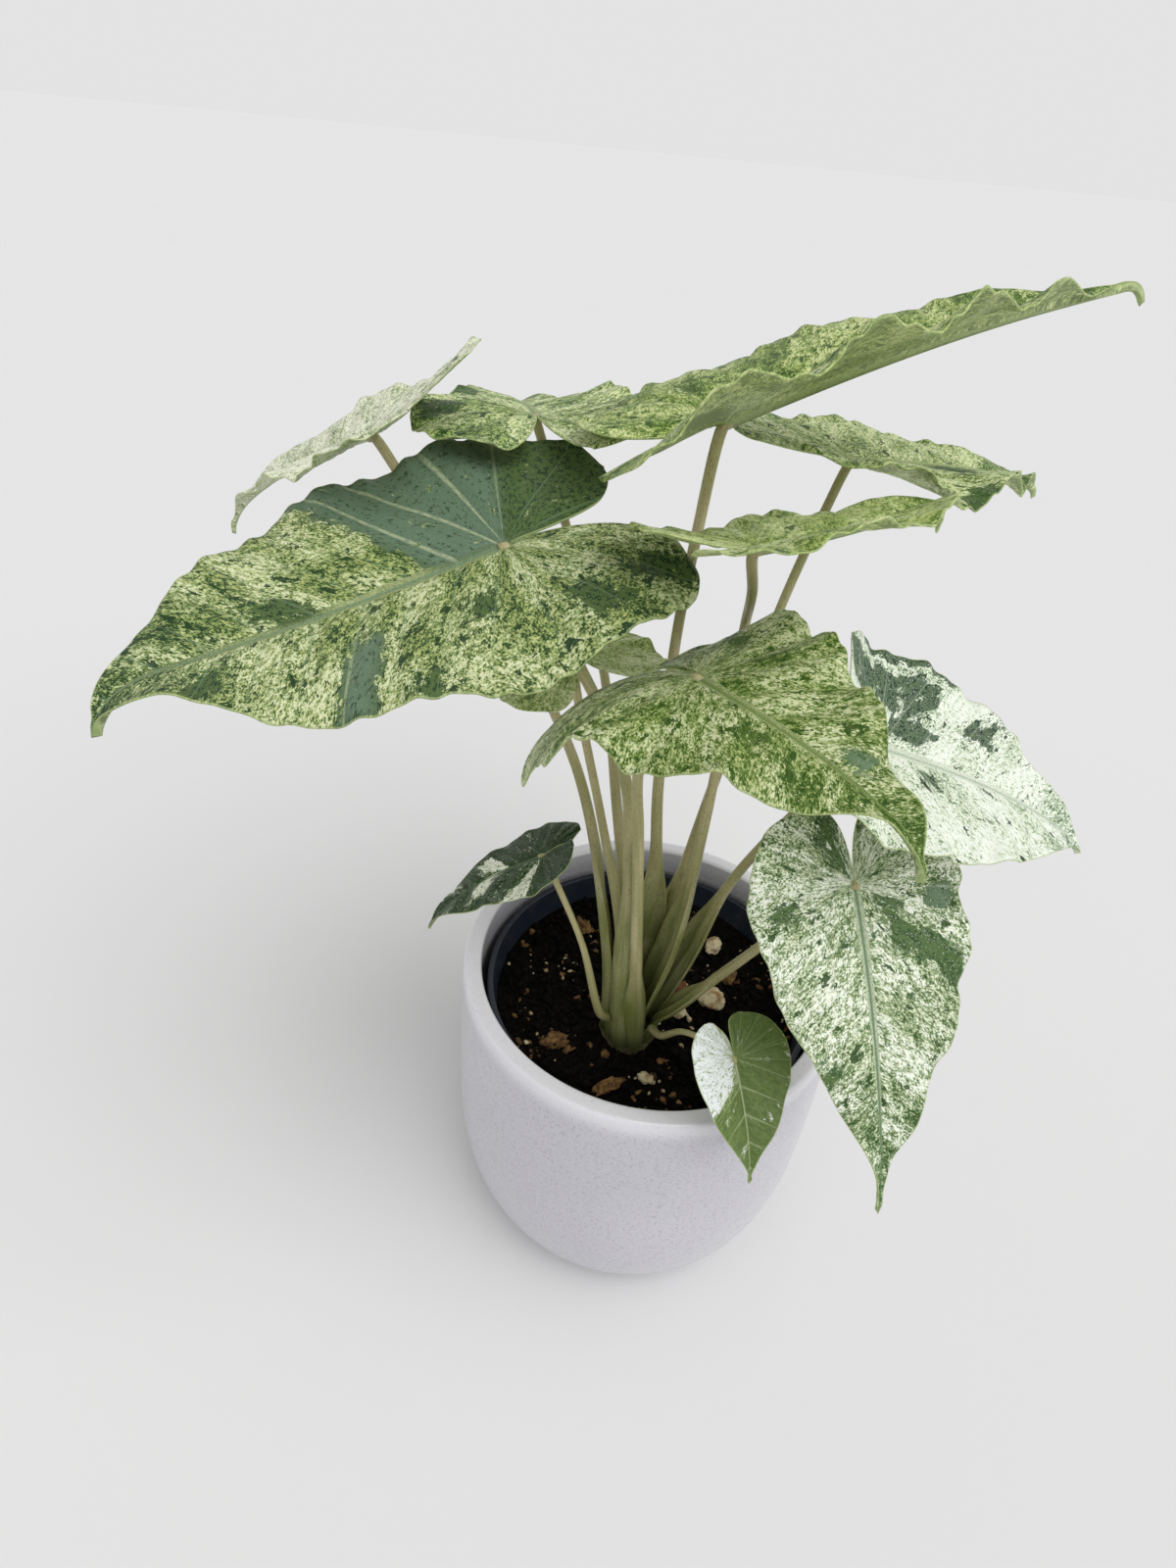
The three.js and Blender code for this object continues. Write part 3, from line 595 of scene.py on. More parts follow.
def add_outer_pot():
    top = POT_HEIGHT - POT_RIM_ROUND
    outside = []
    for i in range(1, POT_OUTSIDE_ROWS + 1):
        height = top * (1 - math.cos(i / POT_OUTSIDE_ROWS * math.pi / 2))
        outside.append((pot_outer_radius(height), height))
    inside = []
    for i in range(POT_INSIDE_ROWS + 1):
        height = top + (POT_INSIDE_BOTTOM - top) * i / POT_INSIDE_ROWS
        inside.append((pot_outer_radius(height) - POT_WALL, height))
    rim_out = POT_RIM_RADIUS - POT_RIM_ROUND
    rim_in = POT_RIM_RADIUS - POT_WALL + POT_RIM_ROUND
    profile = [(FLAT_CENTRE, 0), (POT_BASE_RADIUS - POT_FOOT_WIDTH, 0)]
    profile += arc((POT_BASE_RADIUS - POT_FOOT_ROUND, POT_FOOT_ROUND), POT_FOOT_ROUND, 270, 320, 4)
    profile += outside
    profile += arc((rim_out, top), POT_RIM_ROUND, 15, 90, 5)
    profile += arc((rim_in, top), POT_RIM_ROUND, 90, 165, 5)
    profile += inside
    profile += [(POT_BASE_RADIUS + 4, POT_FLOOR + 2.4), (POT_BASE_RADIUS - 1, POT_FLOOR)]
    profile += [(FLAT_CENTRE, POT_FLOOR)]
    points, faces = turned(profile, POT_SIDES)
    materials = [glaze_material(), bisque_material()]
    pot = build_piece("glazed_pot", points, faces, materials, ["ceramic_pot"])
    for face in pot.data.polygons:
        if face.center.z < BARE_BELOW * MM:
            face.material_index = 1


def plastic_material():
    """Thin dark moulded plastic, dusted a little with dry mix."""
    shader = Shader("dark_plastic", IOR=1.46)
    where = shader.place()
    grain = shader.noise(where, 1200, 3, 0.6)
    dust = shader.noise(where, 130, 5, 0.65)
    tone = shader.mix(grain, (26, 31, 42), (38, 44, 56))
    shader.colour(shader.mix(shader.step(dust, 0.56, 0.75, 0, 0.5), tone, (84, 76, 66)))
    shader.roughness(shader.step(dust, 0.4, 0.7, 0.34, 0.6))
    shader.bump(grain, 0.25, 0.0002)
    return shader.material


def nursery_outer_radius(height):
    up = (height - NURSERY_BOTTOM) / (NURSERY_RIM_HEIGHT - NURSERY_BOTTOM)
    return NURSERY_BASE_RADIUS + (NURSERY_RIM_RADIUS - NURSERY_LIP - NURSERY_BASE_RADIUS) * up


def add_nursery_pot():
    lip_bottom = NURSERY_RIM_HEIGHT - NURSERY_LIP_HEIGHT
    inner_bottom = NURSERY_BOTTOM + NURSERY_WALL
    inner_base = nursery_outer_radius(inner_bottom) - NURSERY_WALL
    inner_top = nursery_outer_radius(NURSERY_RIM_HEIGHT) - NURSERY_WALL
    bead = NURSERY_BEAD
    base_round = NURSERY_BASE_ROUND
    profile = [(FLAT_CENTRE, NURSERY_BOTTOM), (NURSERY_BASE_RADIUS - NURSERY_FOOT_WIDTH, NURSERY_BOTTOM)]
    profile += arc((NURSERY_BASE_RADIUS - base_round, NURSERY_BOTTOM + base_round), base_round, 270, 350, 4)
    profile += [(nursery_outer_radius(lip_bottom) - 0.02, lip_bottom)]
    profile += [(NURSERY_RIM_RADIUS - 0.2, lip_bottom + 0.3), (NURSERY_RIM_RADIUS, lip_bottom + NURSERY_LIP)]
    profile += arc((NURSERY_RIM_RADIUS - bead, NURSERY_RIM_HEIGHT - bead), bead, 0, 90, 4)
    profile += arc((inner_top + bead, NURSERY_RIM_HEIGHT - bead), bead, 90, 180, 4)
    profile += [(inner_base, inner_bottom), (FLAT_CENTRE, inner_bottom)]
    points, faces = turned(profile, POT_SIDES)
    pot = build_piece("inner_pot", points, faces, [plastic_material()], ["nursery_pot"])
    cutter = bpy.data.meshes.new("drains")
    cut_points = []
    cut_faces = []
    for i in range(DRAIN_COUNT):
        turn = i / DRAIN_COUNT * 2 * math.pi
        ends = [(DRAIN_RADIUS, NURSERY_BOTTOM - 1), (DRAIN_RADIUS, inner_bottom + 1)]
        ring, sides = turned(ends, DRAIN_SIDES)
        ring = ring + np.array([DRAIN_CIRCLE * math.cos(turn), DRAIN_CIRCLE * math.sin(turn), 0])
        cut_faces += [tuple(index + len(cut_points) for index in face) for face in sides]
        cut_points += ring.tolist()
    cutter.from_pydata((np.array(cut_points) * MM).tolist(), [], cut_faces)
    drains = bpy.data.objects.new("drains", cutter)
    bpy.context.scene.collection.objects.link(drains)
    cut = pot.modifiers.new("drains", "BOOLEAN")
    cut.operation = "DIFFERENCE"
    cut.object = drains
    apply_modifiers(pot)
    bpy.data.objects.remove(drains)


add_outer_pot()
add_nursery_pot()

# Potting mix, in millimetres
SOIL_LEVEL = 95
SOIL_RELIEF = 0.6
SOIL_LUMP = 20
SOIL_CRUMB = 15
SOIL_MARGIN = 6
SOIL_GAP = 0.05
SOIL_BOTTOM = 7.8
SOIL_BOTTOM_GAP = 0.3
SOIL_BOTTOM_RINGS = (0.1, 0.6, 1.0)
SOIL_SIDES = 210
SOIL_RINGS = 84
CROWN_X = -6
CROWN_Y = -15
CROWN_TOP = 97
CROWN_RADIUS = 10.6
GRIT_HEIGHT = 1.3
GRIT_SIZE = 7.0

# Loose bits: how many, the smallest and the largest, how flat, and the seed of their places
CRUMBS = (3200, 0.4, 2.2, 0.8, 11)
PUMICE_BITS = (130, 0.4, 1.6, 0.75, 21)
BARK_BITS = (260, 0.6, 2.3, 0.45, 31)
BIT_MARGIN = 1.2
BIT_CLEARANCE = 0.5
BIT_ROUGHNESS = 0.5
BIT_SMALLNESS = 2.5
BIT_WIDTH = (0.5, 0.9)
BIT_HEIGHT = (0.6, 1)
BIT_LIFT = (0.1, 0.7)
BIT_TILT = 35
CLUMP = 16
CLUMP_CUT = 0.1

# Stones and chips
PUMICE_ROUGHNESS = 0.35
BARK_ROUGHNESS = 0.6
STONE_LIFT = 0.72
STONE_DETAIL = 4
STONE_SEED = 7.3
STONES = {
    "pumice_1": dict(at=(24.3, -0.7), size=(5, 4, 3.2), turn=20),
    "pumice_2": dict(at=(25.9, 25.9), size=(4, 3, 2.6), turn=70),
    "pumice_3": dict(at=(12, -7.5), size=(2.6, 2.2, 1.8), turn=10),
    "pumice_4": dict(at=(-0.1, -36), size=(2.7, 2, 1.7), turn=160),
    "bark_1": dict(at=(-30.9, -24.4), size=(5, 2.8, 1.4), turn=15),
    "bark_2": dict(at=(-24.6, 30.7), size=(4.4, 2.6, 1.5), turn=120),
    "bark_3": dict(at=(-12.3, -40), size=(4.8, 2.2, 1.3), turn=35),
    "bark_4": dict(at=(31, 12), size=(3.8, 2.4, 1.4), turn=80),
}


def soil_height(x, y):
    """Height of the mix's lumpy top, flatter along the wall."""
    lump = 2 * math.pi / SOIL_LUMP
    crumb = 2 * math.pi / SOIL_CRUMB
    lumps = math.sin(lump * x + 1.1) * math.sin(lump * y + 0.4)
    lumps += 0.6 * math.sin(crumb * (0.8 * x - 0.6 * y))
    inward = min(1, max(0, (soil_radius() - math.hypot(x, y)) / SOIL_MARGIN))
    grit = GRIT_HEIGHT * hills((x, y, 3.0), GRIT_SIZE, 5)
    return SOIL_LEVEL + SOIL_RELIEF * lumps * inward + grit * (0.35 + 0.65 * inward)


def soil_radius():
    return nursery_outer_radius(SOIL_LEVEL) - NURSERY_WALL - SOIL_GAP


def soil_material():
    """Near-black damp mix with brown fibres and pale grit."""
    shader = Shader("potting_mix", IOR=1.4, Specular_IOR_Level=0.15)
    where = shader.place()
    clod = shader.noise(where, 260, 6, 0.7)
    fibre = shader.noise(where, 900, 4, 0.7, 1.5)
    tone = shader.mix(shader.step(clod, 0.35, 0.7), (5, 4, 3), (16, 12, 9))
    tone = shader.mix(shader.step(fibre, 0.62, 0.74), tone, (44, 30, 18))
    shader.colour(shader.mix(shader.step(shader.dots(where, 700), 0.06, 0.1, 0.3, 0), tone, (112, 88, 58)))
    shader.roughness(shader.step(clod, 0.3, 0.7, 0.98, 0.7))
    shader.bump(shader.maths("ADD", clod, fibre), 0.9, 0.001)
    return shader.material


def pumice_material():
    """Cream porous stone with brown stains and small dark pores."""
    shader = Shader("pumice", IOR=1.45)
    where = shader.place()
    stain = shader.noise(where, 220, 4, 0.6)
    pore = shader.dots(where, 1500)
    tone = shader.mix(shader.step(stain, 0.42, 0.68), (208, 194, 158), (152, 114, 70))
    shader.colour(shader.mix(shader.step(pore, 0.12, 0.3, 0.7, 0), tone, (92, 70, 50)))
    shader.roughness(shader.step(stain, 0.3, 0.7, 0.8, 0.95))
    shader.bump(shader.step(pore, 0.0, 0.4), 0.7, 0.0004)
    return shader.material


def pebble(centre, size, turn, detail, seed, rough, tilt=0.0):
    """Points and faces of a rough stone or chip: an icosphere split detail times, pushed about by noise."""
    mesh = bpy.data.meshes.new("pebble")
    shape = bmesh.new()
    bmesh.ops.create_icosphere(shape, subdivisions=detail, radius=1)
    shape.to_mesh(mesh)
    shape.free()
    spin = Matrix.Rotation(math.radians(turn), 3, "Z") @ Matrix.Rotation(math.radians(tilt), 3, "X")
    points = []
    for vertex in mesh.vertices:
        place = vertex.co * (1 + rough * noise.noise(vertex.co * 1.4 + Vector((seed, 0, 0))))
        place = place * (1 + rough * 0.4 * noise.noise(vertex.co * 4 + Vector((0, seed, 0))))
        place = Vector((place.x * size[0], place.y * size[1], place.z * size[2]))
        points.append(spin @ place + Vector(centre))
    faces = [tuple(face.vertices) for face in mesh.polygons]
    bpy.data.meshes.remove(mesh)
    return points, faces


def scattered(count, smallest, largest, flat, seed, clumped=False):
    """Points and faces of many bits lying on the mix, clear of the crown, each sunk a little."""
    draw = random.Random(seed)
    points = []
    faces = []
    while count > 0:
        radius = (soil_radius() - BIT_MARGIN) * math.sqrt(draw.random())
        angle = draw.uniform(0, 2 * math.pi)
        x = radius * math.cos(angle)
        y = radius * math.sin(angle)
        if math.hypot(x - CROWN_X, y - CROWN_Y) < CROWN_RADIUS + BIT_CLEARANCE:
            continue
        if clumped and hills((x, y, seed), CLUMP, 2) < CLUMP_CUT:
            continue
        size = smallest + (largest - smallest) * draw.random() ** BIT_SMALLNESS
        shape = (size, size * draw.uniform(*BIT_WIDTH), size * flat * draw.uniform(*BIT_HEIGHT))
        centre = (x, y, soil_height(x, y) + shape[2] * draw.uniform(*BIT_LIFT))
        tilt = draw.uniform(-BIT_TILT, BIT_TILT)
        turn = draw.uniform(0, 360)
        bit_points, bit_faces = pebble(centre, shape, turn, 1, draw.uniform(0, 99), BIT_ROUGHNESS, tilt)
        first = len(points)
        points += bit_points
        faces += [tuple(index + first for index in face) for face in bit_faces]
        count -= 1
    return points, faces


def add_soil():
    radius = soil_radius()
    base = nursery_outer_radius(SOIL_BOTTOM) - NURSERY_WALL - SOIL_BOTTOM_GAP
    angles = np.linspace(0, 2 * math.pi, SOIL_SIDES, endpoint=False)
    points = []
    rings = [(base * share, SOIL_BOTTOM) for share in SOIL_BOTTOM_RINGS]
    for ring, height in rings:
        points += [(ring * math.cos(a), ring * math.sin(a), height) for a in angles]
    for i in range(SOIL_RINGS, 0, -1):
        ring = radius * i / SOIL_RINGS
        for a in angles:
            x = ring * math.cos(a)
            y = ring * math.sin(a)
            points.append((x, y, soil_height(x, y)))
    faces = tube_faces(len(rings) + SOIL_RINGS, SOIL_SIDES)
    build_piece("potting_mix", points, faces, [soil_material()], ["soil"])
    points, faces = scattered(*CRUMBS)
    build_piece("crumbs", points, faces, [grained_material("crumb")], [])


def add_stones():
    pumice = pumice_material()
    bark = grained_material("bark")
    for seed, (node, stone) in enumerate(STONES.items()):
        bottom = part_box(node)[0].z / MM
        material, rough = (bark, BARK_ROUGHNESS) if node.startswith("bark") else (pumice, PUMICE_ROUGHNESS)
        size = stone["size"]
        centre = (*stone["at"], bottom + size[2] * STONE_LIFT)
        points, faces = pebble(centre, size, stone["turn"], STONE_DETAIL, seed * STONE_SEED, rough)
        points = [(x, y, max(z, bottom)) for x, y, z in points]
        build_piece(f"loose_{node}", points, faces, [material], [node])
    points, faces = scattered(*PUMICE_BITS, clumped=True)
    build_piece("pumice_grit", points, faces, [pumice], [])
    points, faces = scattered(*BARK_BITS, clumped=True)
    build_piece("bark_grit", points, faces, [bark], [])


add_soil()
add_stones()

# How each leaf is coloured and marked. Colours are 0 to 255 screen values: cream and tint for the ground,
# green and deep for the specks and blotches, rib for the veins. specks, blotches and holes are how much
# they cover, veins is the distance between side veins, and seed sets the pattern. A mark is dark, frosted
# or pale, on the left (1) or right (-1) half, from and to along the midrib where its side veins leave, and
# from and to out across the blade, all in millimetres.
LOOKS = {
    "01": dict(
        cream=(208, 213, 172), tint=(174, 182, 110), green=(118, 140, 78), deep=(34, 60, 36), specks=0.55,
        blotches=0.3, rib=(126, 150, 118), veins=12, seed=3, holes=0.3,
        marks=[("dark", -1, -200, 18, -1, 60), ("frost", -1, -24, 18, -1, 44), ("dark", 1, -39, -32, 22, 31),
               ("dark", 1, -26, -19, 24, 36), ("dark", 1, 28, 37, 14, 34), ("frost", 1, 28, 37, 14, 34),
               ("dark", 1, 10, 18, 32, 40), ("dark", -1, 46, 57, -1, 10), ("dark", 1, 0, 7, 14, 20),
               ("dark", 1, 68, 74, 6, 14)],
    ),
    "02": dict(
        cream=(204, 211, 152), tint=(170, 186, 102), green=(104, 132, 58), deep=(50, 78, 30), specks=0.54,
        blotches=0.24, rib=(124, 146, 84), veins=13, seed=8,
        marks=[("dark", 1, -16, -8, 14, 24), ("dark", -1, -36, -26, 6, 24)],
    ),
    "03": dict(
        cream=(212, 219, 170), tint=(178, 194, 114), green=(94, 124, 60), deep=(36, 64, 32), specks=0.52,
        blotches=0.3, rib=(126, 150, 96), veins=12, seed=14,
        marks=[("dark", 1, -24, -14, 22, 34), ("dark", 1, 26, 36, 14, 24), ("dark", 1, -46, -40, 20, 27)],
    ),
    "04": dict(
        cream=(228, 230, 208), tint=(212, 217, 184), green=(122, 138, 96), deep=(78, 98, 62), specks=0.4,
        blotches=0.1, rib=(186, 194, 164), veins=11, seed=21, marks=[],
    ),
    "05": dict(
        cream=(210, 217, 168), tint=(180, 194, 116), green=(96, 126, 60), deep=(38, 66, 32), specks=0.5,
        blotches=0.34, rib=(134, 154, 96), veins=12, seed=27,
        marks=[("dark", -1, -6, 10, 28, 40), ("dark", -1, 24, 34, 6, 16)],
    ),
    "06": dict(
        cream=(210, 217, 162), tint=(178, 194, 108), green=(110, 136, 64), deep=(70, 98, 46), specks=0.46,
        blotches=0.2, rib=(132, 154, 88), veins=11, seed=35, marks=[],
    ),
    "07": dict(
        cream=(206, 211, 170), tint=(174, 186, 120), green=(104, 128, 58), deep=(46, 76, 20), specks=0.54,
        blotches=0.14, rib=(118, 140, 78), veins=11, seed=41,
        marks=[("dark", -1, 18, 26, 4, 9), ("dark", 1, -7, -2, 12, 19), ("dark", -1, 30, 38, 8, 12),
               ("dark", 1, 37, 45, 2, 8), ("frost", 1, 37, 45, 2, 8), ("dark", 1, -26, -21, 15, 23)],
    ),
    "08": dict(
        cream=(230, 234, 224), tint=(218, 226, 204), green=(130, 156, 116), deep=(24, 48, 32), specks=0.36,
        blotches=0.2, rib=(190, 206, 184), veins=11, seed=50,
        marks=[("dark", 1, -36, 7, 12, 26), ("dark", 1, -5, 14, 3, 11), ("dark", 1, 19, 29, 12, 21),
               ("dark", 1, -24, 8, 28, 36), ("dark", -1, 8, 13, 4, 9)],
    ),
    "09": dict(
        cream=(230, 233, 220), tint=(212, 219, 186), green=(112, 138, 82), deep=(46, 74, 34), specks=0.51,
        blotches=0.3, rib=(100, 130, 94), veins=12, seed=58,
        marks=[("dark", 1, 2.5, 11, 8, 28), ("dark", 1, -13, -5, 20, 30), ("frost", 1, -13, -5, 20, 30),
               ("dark", 1, 9, 14, 21, 28), ("dark", 1, -4, 1, 5, 13), ("dark", -1, -50, -34, 2, 10),
               ("dark", -1, -9, -4, 20, 26), ("dark", -1, 36, 44, 10, 18)],
    ),
    "10": dict(
        cream=(226, 229, 212), tint=(140, 156, 104), green=(58, 84, 40), deep=(28, 50, 24), specks=0.8,
        blotches=1.0, rib=(110, 132, 86), veins=8, seed=66, holes=0.4,
        marks=[("pale", 1, -6, 2, 4, 20), ("pale", 1, 16, 21, -1, 8), ("pale", -1, 13, 18, 1, 9),
               ("pale", -1, 29, 38, 4, 20), ("pale", 1, 31, 38, 6, 20)],
    ),
    "11": dict(
        cream=(220, 224, 224), tint=(150, 164, 110), green=(118, 136, 76), deep=(84, 104, 54), specks=0.62,
        blotches=1.3, rib=(190, 202, 160), veins=8, seed=71, holes=0.1, marks=[("pale", -1, -60, 5, 2, 30)],
    ),
    # Leaf 12 is a pale speckled leaf; its tones are also painted lighter, as painted light that makes up for
    # the shade of leaf 01 above it.
    "12": dict(
        cream=(228, 232, 196), tint=(204, 214, 150), green=(136, 158, 92), deep=(92, 120, 60), specks=0.44,
        blotches=0.16, rib=(150, 170, 110), veins=9, seed=77, marks=[],
    ),
}
FROST = (124, 147, 124)
RUST = (138, 84, 66)
RIM_COLOUR = (176, 192, 130)
# Pale underside colour: partly the underside's own duller, paler tone, and partly painted light for light
# shining through the thin blade.
UNDERSIDE_AND_THROUGH_LIGHT = (226, 234, 190)
MARK_EDGE = 3

# Noise over a leaf: grains to the millimetre across and along the side veins, shift with the seed, detail,
# roughness and swirl
LEAF_NOISE = {
    "fine": (2.3, 1.45, 1.0, 3, 0.65, 0.2),
    "grain": (0.85, 0.55, 1.7, 4, 0.65, 0.3),
    "spot": (0.34, 0.22, 2.3, 4, 0.6, 0.5),
    "streak": (0.5, 0.08, 2.9, 3, 0.6, 0),
    "cloud": (0.1, 0.055, 3.7, 3, 0.55, 0),
    "border": (0.2, 0.13, 4.3, 5, 0.62, 0.4),
}

# Where each kind of mark starts and is full, on its noise
GREEN_EDGE = (0.48, 0.5)
DEEP_EDGE = (0.55, 0.565)
DROP_EDGE = (0.685, 0.7)
BLOTCH_EDGE = (0.57, 0.582)
HOLE_EDGE = (0.82, 0.84)
PALE_EDGE = (1.7, 1.73)
FLECK_EDGE = (0.54, 0.555)
RUST_EDGE = (0.845, 0.86)

# Relief of a blade, in millimetres
QUILT = 0.45
GROOVE = 0.35
GROOVE_WIDTH = 1.1
CHANNEL = 0.5
CHANNEL_WIDTH = 1.3
RIPPLE = 0.55
RIPPLE_LENGTH = 11
RIPPLE_START = 0.45
RIPPLE_RISE = 0.5
RIPPLE_MARGIN = (8, 22)
SECOND_RIPPLE = 0.6
SECOND_RIPPLE_TURN = 1.73

# Panels fade out this near the midrib, within this share of the margin, and where a blade is this narrow
PANEL_MIDRIB = 5
PANEL_EDGE = 0.25
PANEL_NARROW = 12


def mark_fields(look, side, start, out):
    """How dark, pale and frosted each place is marked, 0 to 1."""
    fields = {kind: np.zeros_like(out) for kind in ("dark", "pale", "frost")}
    for kind, mark_side, low, high, inner, outer in look["marks"]:
        if mark_side == side:
            inside = np.minimum.reduce([start - low, high - start, out - inner, outer - out])
            share = np.clip(0.5 + inside / (2 * MARK_EDGE), 0, 1)
            fields[kind] = np.maximum(fields[kind], share)
    return np.stack(list(fields.values()), axis=-1)


def blade_relief(look, along, out, margin, start, length):
    """Height of the swollen panels between the side veins, and of the grooves over them."""
    spacing = look["veins"]
    offset = np.abs(start / spacing - np.round(start / spacing)) * spacing
    reach = out / np.maximum(margin, 1)
    fade = np.clip(length / PANEL_MIDRIB, 0, 1) * np.clip((1 - reach) / PANEL_EDGE, 0, 1)
    fade = fade * np.clip(margin / PANEL_NARROW, 0, 1)
    panel = QUILT * np.sin(np.pi * offset / spacing) ** 2
    groove = GROOVE * np.exp(-((offset / GROOVE_WIDTH) ** 2))
    channel = CHANNEL * np.exp(-((out / CHANNEL_WIDTH) ** 2)) * (along > -1)
    turn = 2 * math.pi * along / RIPPLE_LENGTH + look["seed"]
    ripple = RIPPLE * np.clip((reach - RIPPLE_START) / RIPPLE_RISE, 0, 1) ** 2
    ripple = ripple * (np.sin(turn) + SECOND_RIPPLE * np.sin(SECOND_RIPPLE_TURN * turn + 1))
    narrow, wide = RIPPLE_MARGIN
    return (panel - groove) * fade - channel + ripple * np.clip((margin - narrow) / (wide - narrow), 0, 1)


def blade_grid(leaf, look, frames, along, side):
    """Points and shader numbers of one half of a blade, row by row."""
    rows = along[:, None] * np.ones((1, BLADE_COLUMNS + 1))
    low = inner_margin(leaf, np.minimum(rows, 0))
    margin = outer_margin(leaf, rows)
    past = np.clip((rows - leaf["length"]) / leaf["drip"][0], 0, 1)
    late = np.clip((rows / leaf["length"] - DRIP_START) / (1 - DRIP_START), 0, 1)
    thread = DRIP_HALF_WIDTH * late * (1 - past)
    high = np.maximum(margin, thread)
    out = low + (high - low) * np.linspace(0, 1, BLADE_COLUMNS + 1)[None, :]
    start, length = vein_coordinates(rows, np.maximum(out, 1e-6))
    points = blade_points(leaf, frames, rows, out, side)
    above = frame_at(frames, rows)[2]
    points = points + above * blade_relief(look, rows, out, high, start, length)[..., None]
    marks = mark_fields(look, side, start, out)
    grain = np.stack([start, length, np.full_like(out, look["seed"] + side * HALF_SHIFT)], axis=-1)
    width = RIB_HALF_WIDTH * leaf["half_width"] / COMMON_HALF_WIDTH
    width = width * (RIB_AT_STALK - RIB_NARROWING * np.clip(rows / leaf["length"], 0, 1))
    rib = np.where(rows >= 0, out / width, np.hypot(rows, out) / width)
    edge = np.minimum(high - out, np.where(rows < 0, out - low, NO_EDGE))
    anatomy = np.stack([rib, edge, out / np.maximum(high, 0.01)], axis=-1)
    return [block.reshape(-1, 3) for block in (points, grain, marks, anatomy)]


def add_leaf(name):
    leaf = LEAVES[name]
    look = LOOKS[name]
    frames = midrib_frames(leaf)
    rows = round(leaf["length"] / ROW_PITCH)
    even = np.linspace(0, 1, rows + 1)
    back = -leaf["lobe"] * np.cos(np.linspace(0, math.pi / 2, LOBE_ROWS + 1)[:-1])
    drip = leaf["length"] + leaf["drip"][0] * np.linspace(0, 1, DRIP_ROWS + 1)[1:]
    along = np.concatenate([back, leaf["length"] * even, drip])
    halves = [blade_grid(leaf, look, frames, along, side) for side in (1, -1)]
    points, grain, marks, anatomy = [np.concatenate(blocks) for blocks in zip(*halves)]
    faces = [face[::-1] for face in grid_faces(len(along), BLADE_COLUMNS + 1)]
    faces += grid_faces(len(along), BLADE_COLUMNS + 1, first=len(points) // 2)
    materials = [
        leaf_material(f"leaf_{name}_top", look, leaf["length"]),
        leaf_material(f"leaf_{name}_under", look, leaf["length"], under=True),
    ]
    piece = build_piece(f"leaf_{name}", points, faces, materials, [f"blade_{name}"])
    for key, values in (("grain", grain), ("marks", marks), ("anatomy", anatomy)):
        set_numbers(piece.data, key, values)
    ribs = np.clip(1 - anatomy[:, 0] / RIB_FADE, 0, 1)
    thin = BLADE_THICKNESS / RIB_THICKNESS
    group = piece.vertex_groups.new(name="thickness")
    for index, share in enumerate(ribs):
        group.add([index], thin + (1 - thin) * float(share), "REPLACE")
    weld = piece.modifiers.new("weld", "WELD")
    weld.merge_threshold = WELD_REACH * MM
    body = piece.modifiers.new("body", "SOLIDIFY")
    body.thickness = RIB_THICKNESS * leaf["half_width"] / COMMON_HALF_WIDTH * MM
    body.offset = -1
    body.vertex_group = "thickness"
    body.material_offset = 1
    body.use_even_offset = False


